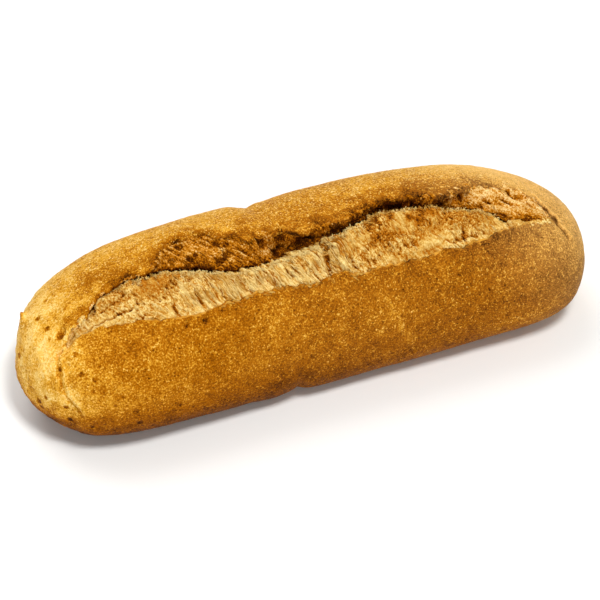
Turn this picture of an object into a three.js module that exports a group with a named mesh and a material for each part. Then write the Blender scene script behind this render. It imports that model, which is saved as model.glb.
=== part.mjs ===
// A brown bread roll: a short baton whose one long slash has torn open along the near side of its top.
// Millimetres, +Z up. X runs along the roll and -Y is the side that the slash faces.
// The origin lies on the surface that the roll rests on, under the middle of the roll.

import * as THREE from 'three';
import { mergeVertices } from 'three/addons/utils/BufferGeometryUtils.js';

// Overall size
const LENGTH = 180;
const WIDTH = 60;
const HEIGHT = 47.6;

// Plan: how squarely the near and far side turn into each end, and how far the ends bow towards the near side
const LEFT_END = { near: 7.5, far: 7.3 };
const RIGHT_END = { near: 12, far: 4.2 };
const PLAN_POWER = 2 / 3;
const BOW = 3;
const BOW_CENTRE = 0.6;

// Side view: how squarely the top and the underside turn into the ends
const TOP_SQUARENESS = 3;
const BASE_SQUARENESS = 7;

// Cross section: the widest level, and the roundness above and below it
const WIDEST_LEVEL = 0.42 * HEIGHT;
const UPPER_ROUNDNESS = 2.2;
const LOWER_ROUNDNESS = 2.8;

// Underside: it would reach this far below the resting surface, so that the surface leaves a flat there
const BASE_SINK = 2.5;

// Slash: where it starts and ends, and how far in from there it is fully open
const SLASH_START = -79;
const SLASH_END = 77;
const SLASH_TAPER = 12;

// Lines along the slash, each at evenly spaced stations from its start to its end.
// The lips are shares of the half width, positive on the near side.
const NEAR_LIP = [0.48, 0.5, 0.62, 0.665, 0.64, 0.69, 0.705, 0.7, 0.655, 0.55, 0.5];
const FAR_LIP = [0.36, 0.13, 0.09, -0.11, 0.06, 0.27, 0.15, 0.08, 0.08, 0.03, 0.34];
// The dark crevice between the risen crumb and the torn face, as a share of the way from near to far lip
const CREVICE_PLACE = [0.93, 0.93, 0.94, 0.555, 0.465, 0.88, 0.865, 0.885, 0.625, 0.16, 0.06];
const CREVICE_DEPTH = [0.5, 3, 4.5, 6, 5.5, 6.5, 8, 7.5, 4.5, 2, 0.5];
const CREVICE_GAP = [0.4, 0.8, 1.1, 1.8, 1.6, 1.8, 2.2, 2, 1.4, 0.8, 0.4];
// How far the crumb lies below the old dome, at the near lip and at its highest
const CRUMB_STEP = [0.3, 1, 1.3, 1.8, 2, 2.2, 1.6, 1.4, 1.3, 1, 0.3];
const CRUMB_CROWN = [0.3, 0.5, 0.2, 1.9, 1.6, 1.2, -0.4, -0.2, 0.5, 1.2, 0.3];

// How far the crevice runs in under the torn face, as a share of its depth
const UNDERCUT = 0.3;

// Lips: how far each edge of crust stands up, and how far from the edge that fades
const NEAR_EAR = { rise: 0.7, reach: 4 };
const FAR_EAR = { rise: 1.2, reach: 8 };

// Torn crumb: waves along the slash and across it, with wavelengths and heights in millimetres
const CRAGS = [
  { along: 19, across: 23, turn: 0.7, height: 0.45 },
  { along: 12.5, across: -31, turn: 2.1, height: 0.4 },
  { along: 8.6, across: 17, turn: 4.4, height: 0.3 },
];

// Folds in the crust: station, half length and depth, and the way it faces and its spread in degrees.
// The last one has a negative depth: a flake that stands out.
const FOLDS = [
  { station: -11.5, reach: 4.5, depth: 1.3, facing: 215, spread: 48 },
  { station: -11.5, reach: 4.5, depth: 1.2, facing: 55, spread: 30 },
  { station: -26, reach: 3.5, depth: 0.5, facing: 55, spread: 24 },
  { station: -79.5, reach: 2, depth: 0.7, facing: 105, spread: 40 },
  { station: 78.5, reach: 2, depth: 0.5, facing: 145, spread: 26 },
  { station: -84.5, reach: 1.8, depth: -1.3, facing: 216, spread: 9 },
];

// Mesh: rings along the roll, and points in each run of a ring
const RINGS = 74;
const CRUST_POINTS = 22;
const SLASH_POINTS = 18;

const { clamp, degToRad, inverseLerp, lerp, smoothstep } = THREE.MathUtils;

// A power that keeps the sign of its base
function signedPower(base, power) {
  return Math.sign(base) * Math.abs(base) ** power;
}

// A smooth line through values at even stations along the slash
function lineAlongSlash(values) {
  const line = new THREE.SplineCurve(values.map((value, index) => new THREE.Vector2(index, value)));
  return (x) => line.getPoint(clamp(inverseLerp(SLASH_START, SLASH_END, x), 0, 1)).y;
}

const nearLip = lineAlongSlash(NEAR_LIP);
const farLip = lineAlongSlash(FAR_LIP);
const crevicePlace = lineAlongSlash(CREVICE_PLACE);
const creviceDepth = lineAlongSlash(CREVICE_DEPTH);
const creviceGap = lineAlongSlash(CREVICE_GAP);
const crumbStep = lineAlongSlash(CRUMB_STEP);
const crumbCrown = lineAlongSlash(CRUMB_CROWN);

// How far the slash is open at a station: 0 past its ends, 1 along its middle
function openness(x) {
  const fromStart = smoothstep(x, SLASH_START, SLASH_START + SLASH_TAPER);
  const fromEnd = smoothstep(x, SLASH_END - SLASH_TAPER, SLASH_END);
  return fromStart * (1 - fromEnd);
}

// Middle line, half widths, rise and fall of the outer crust about its widest level at a station
function girth(x) {
  const end = x < 0 ? LEFT_END : RIGHT_END;
  const reach = Math.min(1, Math.abs((2 * x) / LENGTH));
  return {
    middle: BOW_CENTRE - BOW * reach ** 2,
    near: (WIDTH / 2) * (1 - reach ** end.near) ** PLAN_POWER,
    far: (WIDTH / 2) * (1 - reach ** end.far) ** PLAN_POWER,
    rise: (HEIGHT - WIDEST_LEVEL) * Math.sqrt(1 - reach ** TOP_SQUARENESS),
    fall: (WIDEST_LEVEL + BASE_SINK) * Math.sqrt(1 - reach ** BASE_SQUARENESS),
  };
}

// The outer crust at a station, without folds. The angle is 0 below, 90 degrees near, 180 above, 270 far.
function plainSection(x, angle) {
  const { middle, near, far, rise, fall } = girth(x);
  const upper = Math.cos(angle) < 0;
  const power = 2 / (upper ? UPPER_ROUNDNESS : LOWER_ROUNDNESS);
  const halfWidth = Math.sin(angle) > 0 ? near : far;
  const y = middle - halfWidth * signedPower(Math.sin(angle), power);
  const z = WIDEST_LEVEL - (upper ? rise : fall) * signedPower(Math.cos(angle), power);
  return new THREE.Vector2(y, z);
}

// The way that the outer crust faces at a station and angle
function outward(x, angle) {
  const step = 1e-3;
  const along = plainSection(x, angle + step).sub(plainSection(x, angle - step));
  return new THREE.Vector2(-along.y, along.x).normalize();
}

// Depth of the folds at a station and angle
function foldDepth(x, angle) {
  return FOLDS.reduce((depth, fold) => {
    const away = (x - fold.station) / fold.reach;
    const turn = angle - degToRad(fold.facing);
    const aside = Math.atan2(Math.sin(turn), Math.cos(turn)) / degToRad(fold.spread);
    return depth + fold.depth * Math.exp(-(away ** 2) - aside ** 2);
  }, 0);
}

// The outer crust with its folds, raised by a height
function crustPoint(x, angle, raised = 0) {
  const height = raised - foldDepth(x, angle);
  return plainSection(x, angle).addScaledVector(outward(x, angle), height);
}

// The angle of a lip from its share of the half width
function lipAngle(share) {
  return Math.PI - Math.asin(signedPower(share, UPPER_ROUNDNESS / 2));
}

// A run of crust points from one angle to another, with the ear that stands up along a lip
function crustRun(x, fromAngle, toAngle, lip, ear) {
  const edge = plainSection(x, lip);
  return Array.from({ length: CRUST_POINTS + 1 }, (_, index) => {
    const angle = lerp(fromAngle, toAngle, index / CRUST_POINTS);
    const away = plainSection(x, angle).distanceTo(edge) / ear.reach;
    return crustPoint(x, angle, ear.rise * openness(x) * Math.exp(-(away ** 2)));
  });
}

// Height of the torn crumb's waves at a station and a distance across the slash
function cragHeight(x, across) {
  return CRAGS.reduce((height, crag) => {
    const phase = 2 * Math.PI * (x / crag.along + across / crag.across) + crag.turn;
    return height + crag.height * Math.sin(phase);
  }, 0);
}

// Profile of the slash at a station: how far across from the near lip, and how deep below the old dome
function slashProfile(x, width) {
  const place = crevicePlace(x) * width;
  const depth = creviceDepth(x);
  const gap = creviceGap(x);
  const step = crumbStep(x);
  const crown = crumbCrown(x);
  const floor = place + UNDERCUT * depth;
  const faceFoot = place + 0.5 * gap;
  return new THREE.SplineCurve([
    new THREE.Vector2(0, 0),
    new THREE.Vector2(Math.min(1, 0.1 * place), step),
    new THREE.Vector2(0.45 * place, lerp(step, crown, 0.6)),
    new THREE.Vector2(0.86 * place - 0.3 * gap, crown),
    new THREE.Vector2(place - 0.6 * gap, lerp(crown, depth, 0.45)),
    new THREE.Vector2(floor - 0.5 * gap, 0.97 * depth),
    new THREE.Vector2(floor + 0.3 * gap, 0.9 * depth),
    new THREE.Vector2(lerp(faceFoot, width, 0.1), 0.4 * depth),
    new THREE.Vector2(lerp(faceFoot, width, 0.55), 0.16 * depth),
    new THREE.Vector2(width, 0),
  ]);
}

// The run of torn crumb points from the near lip's edge to the far lip's edge
function slashRun(x, nearEdge, farEdge, dome) {
  const across = farEdge.clone().sub(nearEdge);
  const width = across.length();
  const open = openness(x);
  across.normalize();
  const up = new THREE.Vector2(-across.y, across.x);
  const swell = up.dot(dome.clone().sub(nearEdge));
  const points = slashProfile(x, width).getPoints(SLASH_POINTS);
  return points.map((point, index) => {
    const share = lerp(index / SLASH_POINTS, point.x / width, open);
    const inside = 4 * Math.max(0, share * (1 - share));
    const height = inside * (swell + open * cragHeight(x, point.x)) - open * point.y;
    return nearEdge.clone().addScaledVector(across, share * width).addScaledVector(up, height);
  });
}

// One ring of the roll: the near crust from below, the slash, and the far crust back to below
function ring(x) {
  const near = lipAngle(nearLip(x));
  const far = lipAngle(farLip(x));
  const nearRun = crustRun(x, 0, near, near, NEAR_EAR);
  const farRun = crustRun(x, far, 2 * Math.PI, far, FAR_EAR);
  const dome = crustPoint(x, (near + far) / 2);
  const tornRun = slashRun(x, nearRun.at(-1), farRun[0], dome);
  return [...nearRun, ...tornRun.slice(1, -1), ...farRun];
}

// The roll's near outline seen from above, for evenly spaced rings
class PlanOutline extends THREE.Curve {
  getPoint(share, target = new THREE.Vector2()) {
    const x = (-LENGTH / 2) * Math.cos(Math.PI * share);
    return target.set(x, girth(x).near);
  }
}

// A sphere's rings, each moved onto one station of the roll
function rollGeometry() {
  const sides = 2 * CRUST_POINTS + SLASH_POINTS;
  const geometry = new THREE.SphereGeometry(1, sides, RINGS);
  const position = geometry.getAttribute('position');
  const outline = new PlanOutline();
  outline.arcLengthDivisions = 1000;
  outline.getSpacedPoints(RINGS).forEach((station, row) => {
    const tip = row === 0 || row === RINGS;
    const points = tip ? [] : ring(station.x);
    for (let side = 0; side <= sides; side += 1) {
      const y = tip ? girth(station.x).middle : points[side].x;
      const z = tip ? WIDEST_LEVEL : Math.max(0, points[side].y);
      position.setXYZ(row * (sides + 1) + side, station.x, y, z);
    }
  });
  geometry.deleteAttribute('normal');
  geometry.deleteAttribute('uv');
  const closed = mergeVertices(geometry, 1e-4);
  closed.computeVertexNormals();
  return closed;
}

const crust = new THREE.MeshStandardMaterial({ color: 0xb8751c, roughness: 0.55, metalness: 0 });

const loaf = new THREE.Mesh(rollGeometry(), crust);
loaf.name = 'loaf';

const roll = new THREE.Group();
roll.add(loaf);

export default roll;
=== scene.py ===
"""A brown bread roll with a torn slash, dressed for its portrait: crust, crumb, and a plain studio.

Sizes are in millimetres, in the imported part's own frame, and become metres when a mesh is written.
X runs along the roll, -Y is the side that the slash faces, and Z is up from the resting surface.
"""

import itertools
import logging
import math
from dataclasses import dataclass, field
from enum import Enum

import bmesh
import bpy
import numpy as np
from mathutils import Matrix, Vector


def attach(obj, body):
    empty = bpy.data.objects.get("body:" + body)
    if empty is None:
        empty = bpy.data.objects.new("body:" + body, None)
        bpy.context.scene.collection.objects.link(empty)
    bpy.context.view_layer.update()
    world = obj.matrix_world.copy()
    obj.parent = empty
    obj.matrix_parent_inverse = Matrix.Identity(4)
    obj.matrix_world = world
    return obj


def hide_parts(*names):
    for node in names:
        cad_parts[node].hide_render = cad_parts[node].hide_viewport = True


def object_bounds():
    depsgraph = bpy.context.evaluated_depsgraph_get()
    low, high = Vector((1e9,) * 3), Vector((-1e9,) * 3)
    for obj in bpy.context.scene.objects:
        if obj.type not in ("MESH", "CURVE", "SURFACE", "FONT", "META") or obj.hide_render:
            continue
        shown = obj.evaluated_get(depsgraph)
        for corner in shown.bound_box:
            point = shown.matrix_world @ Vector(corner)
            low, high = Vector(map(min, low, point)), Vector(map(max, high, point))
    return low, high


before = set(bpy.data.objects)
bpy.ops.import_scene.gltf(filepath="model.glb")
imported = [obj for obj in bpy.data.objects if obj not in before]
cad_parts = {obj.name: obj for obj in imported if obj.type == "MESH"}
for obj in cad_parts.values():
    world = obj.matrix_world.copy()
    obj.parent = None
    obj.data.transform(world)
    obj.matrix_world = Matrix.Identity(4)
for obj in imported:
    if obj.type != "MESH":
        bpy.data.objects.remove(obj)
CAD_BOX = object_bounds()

LOG = logging.getLogger("bread_roll")
MM = 0.001
NODE = "loaf"
BODY = "root"
BOX_EASE = 0.6
FLAKE_TOAST = 0.6
TINY = 1e-9
NOISE_SLOPES = 1021
NOISE_PRIMES = np.array([73856093, 19349663, 83492791])
NOISE_START = 0.37
NOISE_SHIFT = 11


def linear(hex_colour: str) -> tuple[float, float, float, float]:
    """Turns an sRGB hex colour into linear light.

    Args:
        hex_colour: The colour as "#rrggbb".

    Returns:
        Red, green, blue and alpha in linear light.
    """
    channels = [int(hex_colour[start:start + 2], 16) / 255 for start in (1, 3, 5)]
    straight = [c / 12.92 if c <= 0.04045 else ((c + 0.055) / 1.055) ** 2.4 for c in channels]
    return (*straight, 1.0)


def add_node(tree: bpy.types.NodeTree, kind: str, settings: dict, inputs: dict) -> bpy.types.Node:
    """Adds a node with its settings, and sets or links its inputs.

    Args:
        tree: The material's node tree.
        kind: The node's type name.
        settings: Property values by name.
        inputs: A value, or an output socket to link, by input name or number.

    Returns:
        The new node.
    """
    node = tree.nodes.new(kind)
    for name, value in settings.items():
        setattr(node, name, value)
    for name, value in inputs.items():
        if isinstance(value, bpy.types.NodeSocket):
            tree.links.new(value, node.inputs[name])
        else:
            node.inputs[name].default_value = value
    return node


def add_math(
    tree: bpy.types.NodeTree, operation: str, *values: float | bpy.types.NodeSocket,
) -> bpy.types.NodeSocket:
    """Adds a node that reckons with values.

    Args:
        tree: The material's node tree.
        operation: The name of what it reckons.
        values: Values, or output sockets to link, in order.

    Returns:
        The result's socket.
    """
    return add_node(tree, "ShaderNodeMath", {"operation": operation}, dict(enumerate(values))).outputs[0]


def smoothstep(value: np.ndarray, low: float, high: float) -> np.ndarray:
    """Rises smoothly from 0 at low to 1 at high."""
    share = np.clip((value - low) / (high - low), 0.0, 1.0)
    return share * share * (3.0 - 2.0 * share)


def signed_power(base: np.ndarray, power: np.ndarray) -> np.ndarray:
    """A power that keeps the sign of its base."""
    return np.sign(base) * np.abs(base) ** power


def spline(values: np.ndarray, place: np.ndarray) -> np.ndarray:
    """Reads a smooth curve through values that stand at whole-number places.

    Args:
        values: The values, along the last axis.
        place: Where to read, from 0 to the number of values less one.

    Returns:
        The curve's values at those places.
    """
    values = np.asarray(values, dtype=float)
    last = values.shape[-1] - 1
    place = np.clip(np.asarray(place, dtype=float), 0, last)
    index = np.minimum(place.astype(int), last - 1)
    t = place - index
    before = values[..., np.maximum(index - 1, 0)]
    start = values[..., index]
    end = values[..., index + 1]
    after = values[..., np.minimum(index + 2, last)]
    leaving, arriving = (end - before) / 2, (after - start) / 2
    cubic = 2 * start - 2 * end + leaving + arriving
    square = 3 * end - 3 * start - 2 * leaving - arriving
    return ((cubic * t + square) * t + leaving) * t + start


def rough(points: np.ndarray, size: float | tuple[float, float, float], seed: int) -> np.ndarray:
    """Smooth random values at points in space, from slopes that are drawn at whole-number places.

    Args:
        points: Points in millimetres, with x, y and z along the last axis.
        size: The pattern's size in millimetres, one for all directions or one each for x, y and z.
        seed: Which pattern to draw.

    Returns:
        One value from about -1 to 1 for each point.
    """
    scaled = points / np.array(size) + NOISE_START
    cell = np.floor(scaled).astype(np.int64)
    inside = scaled - cell
    ease = inside ** 3 * (inside * (inside * 6 - 15) + 10)
    slopes = np.random.default_rng(seed).normal(size=(NOISE_SLOPES, 3))
    slopes *= math.sqrt(2) / np.linalg.norm(slopes, axis=1, keepdims=True)
    total = np.zeros(points.shape[:-1])
    for corner in itertools.product((0, 1), repeat=3):
        mixed = ((cell + np.array(corner)) * NOISE_PRIMES).sum(axis=-1)
        slope = slopes[(mixed ^ (mixed >> NOISE_SHIFT)) % NOISE_SLOPES]
        weight = np.where(corner, ease, 1 - ease).prod(axis=-1)
        total += weight * (slope * (inside - corner)).sum(axis=-1)
    return total


def rough_line(x: np.ndarray, size: float, seed: int) -> np.ndarray:
    """Smooth random values along a line, from about -1 to 1."""
    points = np.stack([x, 0 * x, 0 * x], axis=-1)
    return rough(points, size, seed)


def crest(noise: np.ndarray) -> np.ndarray:
    """Turns smooth noise into sharp crests with wide valleys between them, from -0.5 to 0.5."""
    return 0.5 - np.minimum(2 * np.abs(noise), 1)


def fade(away: np.ndarray, reach: float) -> np.ndarray:
    """Falls softly from 1 on a line to nothing, over about a reach."""
    return np.exp(-(away / reach) ** 2)


def softened(values: np.ndarray, steps: int) -> np.ndarray:
    """Smooths a grid of values along both of its directions.

    Args:
        values: The grid.
        steps: How often to smooth it, so how widely.

    Returns:
        The smooth grid.
    """
    for axis in (0, 1) * steps:
        values = (np.roll(values, 1, axis) + 2 * values + np.roll(values, -1, axis)) / 4
    return values


def inside_box(points: np.ndarray) -> np.ndarray:
    """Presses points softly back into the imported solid's box, apart from its base.

    Args:
        points: Points in millimetres.

    Returns:
        The points, with none outside the box.
    """
    low, high = (np.array(corner) / MM for corner in CAD_BOX)
    low[2] = -np.inf
    over = np.maximum(points - high + BOX_EASE, 0)
    under = np.maximum(low + BOX_EASE - points, 0)
    pressed = [gap - BOX_EASE * (1 - np.exp(-gap / BOX_EASE)) for gap in (over, under)]
    return points - pressed[0] + pressed[1]


def grid_normals(points: np.ndarray) -> np.ndarray:
    """Outward normals of a grid of rings that runs along +X.

    Args:
        points: Points of shape (rings, sides, 3), each ring closed on itself.

    Returns:
        Unit normals of the same shape.
    """
    along = np.gradient(points, axis=0)
    around = np.roll(points, -1, axis=1) - np.roll(points, 1, axis=1)
    normals = np.cross(along, around)
    return normals / np.maximum(np.linalg.norm(normals, axis=-1, keepdims=True), TINY)


@dataclass(frozen=True)
class Pattern:
    """Smooth random values: how strong they are, their size in millimetres, and which ones are drawn."""

    strength: float
    size: float | tuple[float, float, float]
    seed: int

    def at(self, points: np.ndarray) -> np.ndarray:
        """The values at points in space."""
        return self.strength * rough(points, self.size, self.seed)

    def along(self, x: np.ndarray) -> np.ndarray:
        """The values along a line, for a pattern with one size."""
        return self.strength * rough_line(x, self.size, self.seed)


@dataclass(frozen=True)
class Rise:
    """A value that grows smoothly from nothing at one place to its full amount at another."""

    amount: float
    start: float
    end: float

    def at(self, place: np.ndarray) -> np.ndarray:
        """The amount that is reached at a place."""
        return self.amount * smoothstep(place, self.start, self.end)


class Lip(Enum):
    """The two edges of crust along the slash: how far each stands up, where that fades, how torn it is."""

    NEAR = (0.7, 4.0, 0.035)
    FAR = (1.2, 8.0, 0.09)

    @property
    def rise(self) -> float:
        """How far the edge stands up."""
        return self.value[0]

    @property
    def reach(self) -> float:
        """How far from the edge the rise fades."""
        return self.value[1]

    @property
    def torn(self) -> float:
        """How far the edge strays from its line, as a share of the half width."""
        return self.value[2]


@dataclass(frozen=True)
class Fold:
    """A fold in the crust, or with a negative depth a flake that stands out."""

    station: float
    reach: float
    depth: float
    facing: float
    spread: float

    def depth_at(self, x: np.ndarray, angle: np.ndarray) -> np.ndarray:
        """Depth of the fold.

        Args:
            x: Stations along the roll.
            angle: Section angles.

        Returns:
            Depth in millimetres.
        """
        turn = angle - math.radians(self.facing)
        aside = np.arctan2(np.sin(turn), np.cos(turn)) / math.radians(self.spread)
        return self.depth * np.exp(-((x - self.station) / self.reach) ** 2 - aside ** 2)


@dataclass(frozen=True)
class Crease:
    """A thin groove in the crust beside a low ridge, along stations and section angles in degrees."""

    line: tuple[tuple[float, float], ...]
    depth: float
    width: float
    ridge: float = 0.0
    # About the section's radius, to turn section angles into distances
    arm: float = 26.0
    stray: Pattern = Pattern(0.8, 4.0, 47)
    # Where the ridge lies beside the groove and how broad it is, in widths of the groove
    ridge_place: float = 2.0
    ridge_breadth: float = 1.6

    def depth_at(self, x: np.ndarray, angle: np.ndarray) -> np.ndarray:
        """Depth of the crease.

        Args:
            x: Stations along the roll.
            angle: Section angles.

        Returns:
            Depth in millimetres, negative on the ridge.
        """
        place = np.stack([x + 0 * angle, self.arm * angle + 0 * x, 0 * (x + angle)], axis=-1)
        place = place[..., :2] + self.stray.at(place)[..., None]
        knots = np.array([(station, self.arm * math.radians(turn)) for station, turn in self.line])
        away = np.full(place.shape[:-1], np.inf)
        for start, run in zip(knots[:-1], np.diff(knots, axis=0)):
            share = np.clip((place - start) @ run / (run @ run), 0, 1)
            aside = place - start - share[..., None] * run
            side = np.sign(run[0] * aside[..., 1] - run[1] * aside[..., 0])
            distance = np.linalg.norm(aside, axis=-1)
            away = np.where(distance < np.abs(away), side * distance, away)
        groove = self.depth * fade(away, self.width)
        return groove - self.ridge * fade(away / self.width - self.ridge_place, self.ridge_breadth)


@dataclass(frozen=True)
class RollForm:
    """The roll's outer form and the lines of its slash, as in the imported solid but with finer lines."""

    length: float = 180.0
    width: float = 60.0
    height: float = 47.6
    left_near: float = 7.5
    left_far: float = 7.3
    right_near: float = 12.0
    right_far: float = 4.2
    plan_power: float = 2 / 3
    bow: float = 3.0
    bow_centre: float = 0.6
    top_squareness: float = 3.0
    base_squareness: float = 7.0
    widest_share: float = 0.42
    upper_roundness: float = 2.2
    lower_roundness: float = 2.8
    base_sink: float = 2.5
    slash_start: float = -79.0
    slash_end: float = 77.0
    left_taper: float = 6.0
    right_taper: float = 4.0
    undercut: float = 0.3
    narrowest: float = 1e-6
    outline_steps: int = 4000
    lip_tears: tuple[Pattern, ...] = (Pattern(1.0, 6.0, 41), Pattern(0.7, 2.2, 42), Pattern(0.4, 0.9, 45))
    # Lines along the slash at even stations: lips as shares of the half width, positive on the near side
    near_lip: tuple[float, ...] = (
        0.62, 0.46, 0.50, 0.56, 0.62, 0.665, 0.665, 0.645, 0.64, 0.69, 0.69,
        0.685, 0.705, 0.71, 0.70, 0.685, 0.655, 0.61, 0.55, 0.50, 0.50,
    )
    far_lip: tuple[float, ...] = (
        0.52, 0.33, 0.13, 0.09, 0.09, -0.11, -0.11, -0.03, 0.065, 0.11, 0.20,
        0.19, 0.145, 0.08, 0.05, 0.11, 0.11, 0.04, 0.03, 0.06, 0.32,
    )
    # The crevice as a share of the way from the near to the far lip, its depth and its gap
    crevice_place: tuple[float, ...] = (
        1.03, 1.00, 0.95, 0.957, 0.943, 0.65, 0.555, 0.43, 0.47, 0.612, 0.745,
        0.786, 0.857, 0.90, 0.90, 0.89, 0.74, 0.54, 0.20, 0.02, 0.02,
    )
    crevice_depth: tuple[float, ...] = (
        0.3, 0.5, 2.6, 4.5, 5.0, 6.0, 6.0, 5.0, 5.5, 7.5, 8.0,
        5.5, 5.0, 7.5, 8.5, 8.0, 7.5, 4.5, 2.2, 1.0, 0.3,
    )
    crevice_gap: tuple[float, ...] = (
        0.3, 0.3, 1.4, 2.2, 2.4, 2.4, 2.0, 1.4, 1.8, 2.8, 3.0,
        2.8, 2.6, 3.2, 3.4, 2.0, 3.0, 1.6, 0.7, 0.4, 0.3,
    )
    # How far the crumb lies below the old dome, at the near lip and at its highest
    crumb_step: tuple[float, ...] = (
        0.3, 0.8, 1.0, 1.2, 1.3, 1.6, 1.8, 2.0, 2.0, 2.2, 2.4,
        2.0, 1.6, 1.4, 1.3, 1.3, 1.2, 1.1, 0.9, 0.7, 0.3,
    )
    crumb_crown: tuple[float, ...] = (
        0.3, 0.6, 0.5, 0.2, 0.2, 0.8, 1.8, 2.2, 2.0, 1.8, 1.4,
        -0.2, -0.6, -0.1, 0.7, 1.1, 0.9, 0.7, 1.0, 1.0, 0.3,
    )
    folds: tuple[Fold, ...] = (
        Fold(-11.5, 4.5, 1.3, 215, 48),
        Fold(-11.5, 4.5, 0.7, 55, 30),
        Fold(-26.0, 3.5, 0.3, 55, 24),
        Fold(-79.5, 2.0, 0.7, 105, 40),
        Fold(78.5, 2.0, 0.5, 145, 26),
        Fold(-9.4, 1.6, 0.7, 215, 40),
        Fold(-15.0, 2.5, -0.4, 215, 40),
        Fold(-4.5, 4.5, 0.8, 215, 45),
        Fold(12.0, 18.0, 0.35, 215, 45),
        Fold(-52.0, 22.0, 0.8, 42, 32),
        Fold(-8.0, 24.0, -0.5, 42, 32),
        Fold(22.0, 26.0, -0.4, 42, 32),
        Fold(58.0, 20.0, 0.7, 42, 32),
        Fold(-10.4, 1.6, 0.8, 55, 25),
        Fold(-82.0, 10.0, 0.4, 225, 45),
        Fold(-70.0, 9.0, 0.8, 215, 40),
        Fold(-83.0, 5.0, 0.9, 55, 25),
    )
    flakes: tuple[Fold, ...] = (
        Fold(-84.5, 1.8, -1.3, 216, 9),
        Fold(-84.4, 0.9, -1.4, 214, 5),
    )
    # The seams of both ends, a short crease beside the slash, and two faint seams low on the near side
    creases: tuple[Crease, ...] = (
        Crease(
            ((-77.8, 150), (-79.1, 147), (-80.4, 131), (-80.4, 114), (-79.0, 100), (-77.5, 90)),
            0.9, 0.5, 0.7,
        ),
        Crease(
            ((73.5, 172), (74.9, 168), (75.6, 162), (77.0, 156), (78.0, 148), (80.0, 139)),
            1.4, 0.5, 0.5,
        ),
        Crease(((66.8, 147), (69.6, 138)), 0.6, 0.4),
        Crease(
            ((16.6, 114), (18.5, 105), (19.6, 98), (21.5, 90), (23.0, 85), (24.5, 75)),
            0.2, 0.4, 0.5,
        ),
        Crease(((24.0, 84), (31.0, 84), (38.0, 85), (46.0, 86)), 0.08, 0.35, 0.25),
    )

    @property
    def widest_level(self) -> float:
        """Height at which the section is widest."""
        return self.widest_share * self.height

    def reach(self, x: np.ndarray) -> np.ndarray:
        """Share of the way from the middle to an end."""
        return np.minimum(np.abs(2 * x / self.length), 1.0)

    def half_width(self, x: np.ndarray, near: np.ndarray) -> np.ndarray:
        """Half width of one side of the roll.

        Args:
            x: Stations along the roll.
            near: True for the near side, false for the far one.

        Returns:
            The half width at each station.
        """
        left = np.where(near, self.left_near, self.left_far)
        right = np.where(near, self.right_near, self.right_far)
        squareness = np.where(x < 0, left, right)
        return self.width / 2 * (1 - self.reach(x) ** squareness) ** self.plan_power

    def middle(self, x: np.ndarray) -> np.ndarray:
        """Y of the roll's bowed middle line."""
        return self.bow_centre - self.bow * self.reach(x) ** 2

    def section(self, x: np.ndarray, angle: np.ndarray) -> np.ndarray:
        """The plain outer crust, without folds.

        Args:
            x: Stations along the roll.
            angle: Section angles: 0 below, a quarter turn near, a half above, three quarters far.

        Returns:
            Y and z along a new last axis.
        """
        level = self.widest_level
        upper = np.cos(angle) < 0
        rise = (self.height - level) * np.sqrt(1 - self.reach(x) ** self.top_squareness)
        fall = (level + self.base_sink) * np.sqrt(1 - self.reach(x) ** self.base_squareness)
        power = 2 / np.where(upper, self.upper_roundness, self.lower_roundness)
        half = self.half_width(x, np.sin(angle) > 0)
        y = self.middle(x) - half * signed_power(np.sin(angle), power)
        z = level - np.where(upper, rise, fall) * signed_power(np.cos(angle), power)
        return np.stack([y, z], axis=-1)

    def outward(self, x: np.ndarray, angle: np.ndarray) -> np.ndarray:
        """The way that the plain crust faces.

        Args:
            x: Stations along the roll.
            angle: Section angles.

        Returns:
            Unit normals, as y and z along a new last axis.
        """
        step = 1e-3
        along = self.section(x, angle + step) - self.section(x, angle - step)
        normal = np.stack([-along[..., 1], along[..., 0]], axis=-1)
        return normal / np.maximum(np.linalg.norm(normal, axis=-1, keepdims=True), TINY)

    def crust(self, x: np.ndarray, angle: np.ndarray, raised: np.ndarray) -> np.ndarray:
        """The outer crust with its folds, creases and flakes.

        Args:
            x: Stations along the roll.
            angle: Section angles.
            raised: Height above the folded crust.

        Returns:
            Y and z along a new last axis.
        """
        sunk = sum(fold.depth_at(x, angle) for fold in self.folds) + self.creased(x, angle)
        height = raised - sunk + self.flaked(x, angle)
        return self.section(x, angle) + self.outward(x, angle) * height[..., None]

    def flaked(self, x: np.ndarray, angle: np.ndarray) -> np.ndarray:
        """Height of all flakes at stations and section angles."""
        return -sum(flake.depth_at(x, angle) for flake in self.flakes)

    def creased(self, x: np.ndarray, angle: np.ndarray) -> np.ndarray:
        """Depth of all creases at stations and section angles."""
        return sum(crease.depth_at(x, angle) for crease in self.creases)

    def along_slash(self, values: tuple[float, ...], x: np.ndarray) -> np.ndarray:
        """A line along the slash, read at stations."""
        share = (x - self.slash_start) / (self.slash_end - self.slash_start)
        return spline(np.array(values), share * (len(values) - 1))

    def openness(self, x: np.ndarray) -> np.ndarray:
        """How far the slash is open.

        Args:
            x: Stations along the roll.

        Returns:
            0 past the slash's ends, 1 along its middle.
        """
        start = smoothstep(x, self.slash_start, self.slash_start + self.left_taper)
        end = smoothstep(x, self.slash_end - self.right_taper, self.slash_end)
        return start * (1 - end)

    def lip_angle(self, x: np.ndarray, lip: Lip, torn: float) -> np.ndarray:
        """Section angle of a lip at stations.

        Args:
            x: Stations along the roll.
            lip: Which lip.
            torn: 1 for the torn edge itself, 0 for the smooth line that it strays from.

        Returns:
            The angle at each station.
        """
        line = self.along_slash(self.near_lip if lip is Lip.NEAR else self.far_lip, x)
        tear = sum(pattern.along(x) for pattern in self.lip_tears)
        share = line + torn * lip.torn * tear * self.openness(x)
        return math.pi - np.arcsin(signed_power(share, np.array(self.upper_roundness / 2)))

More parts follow.
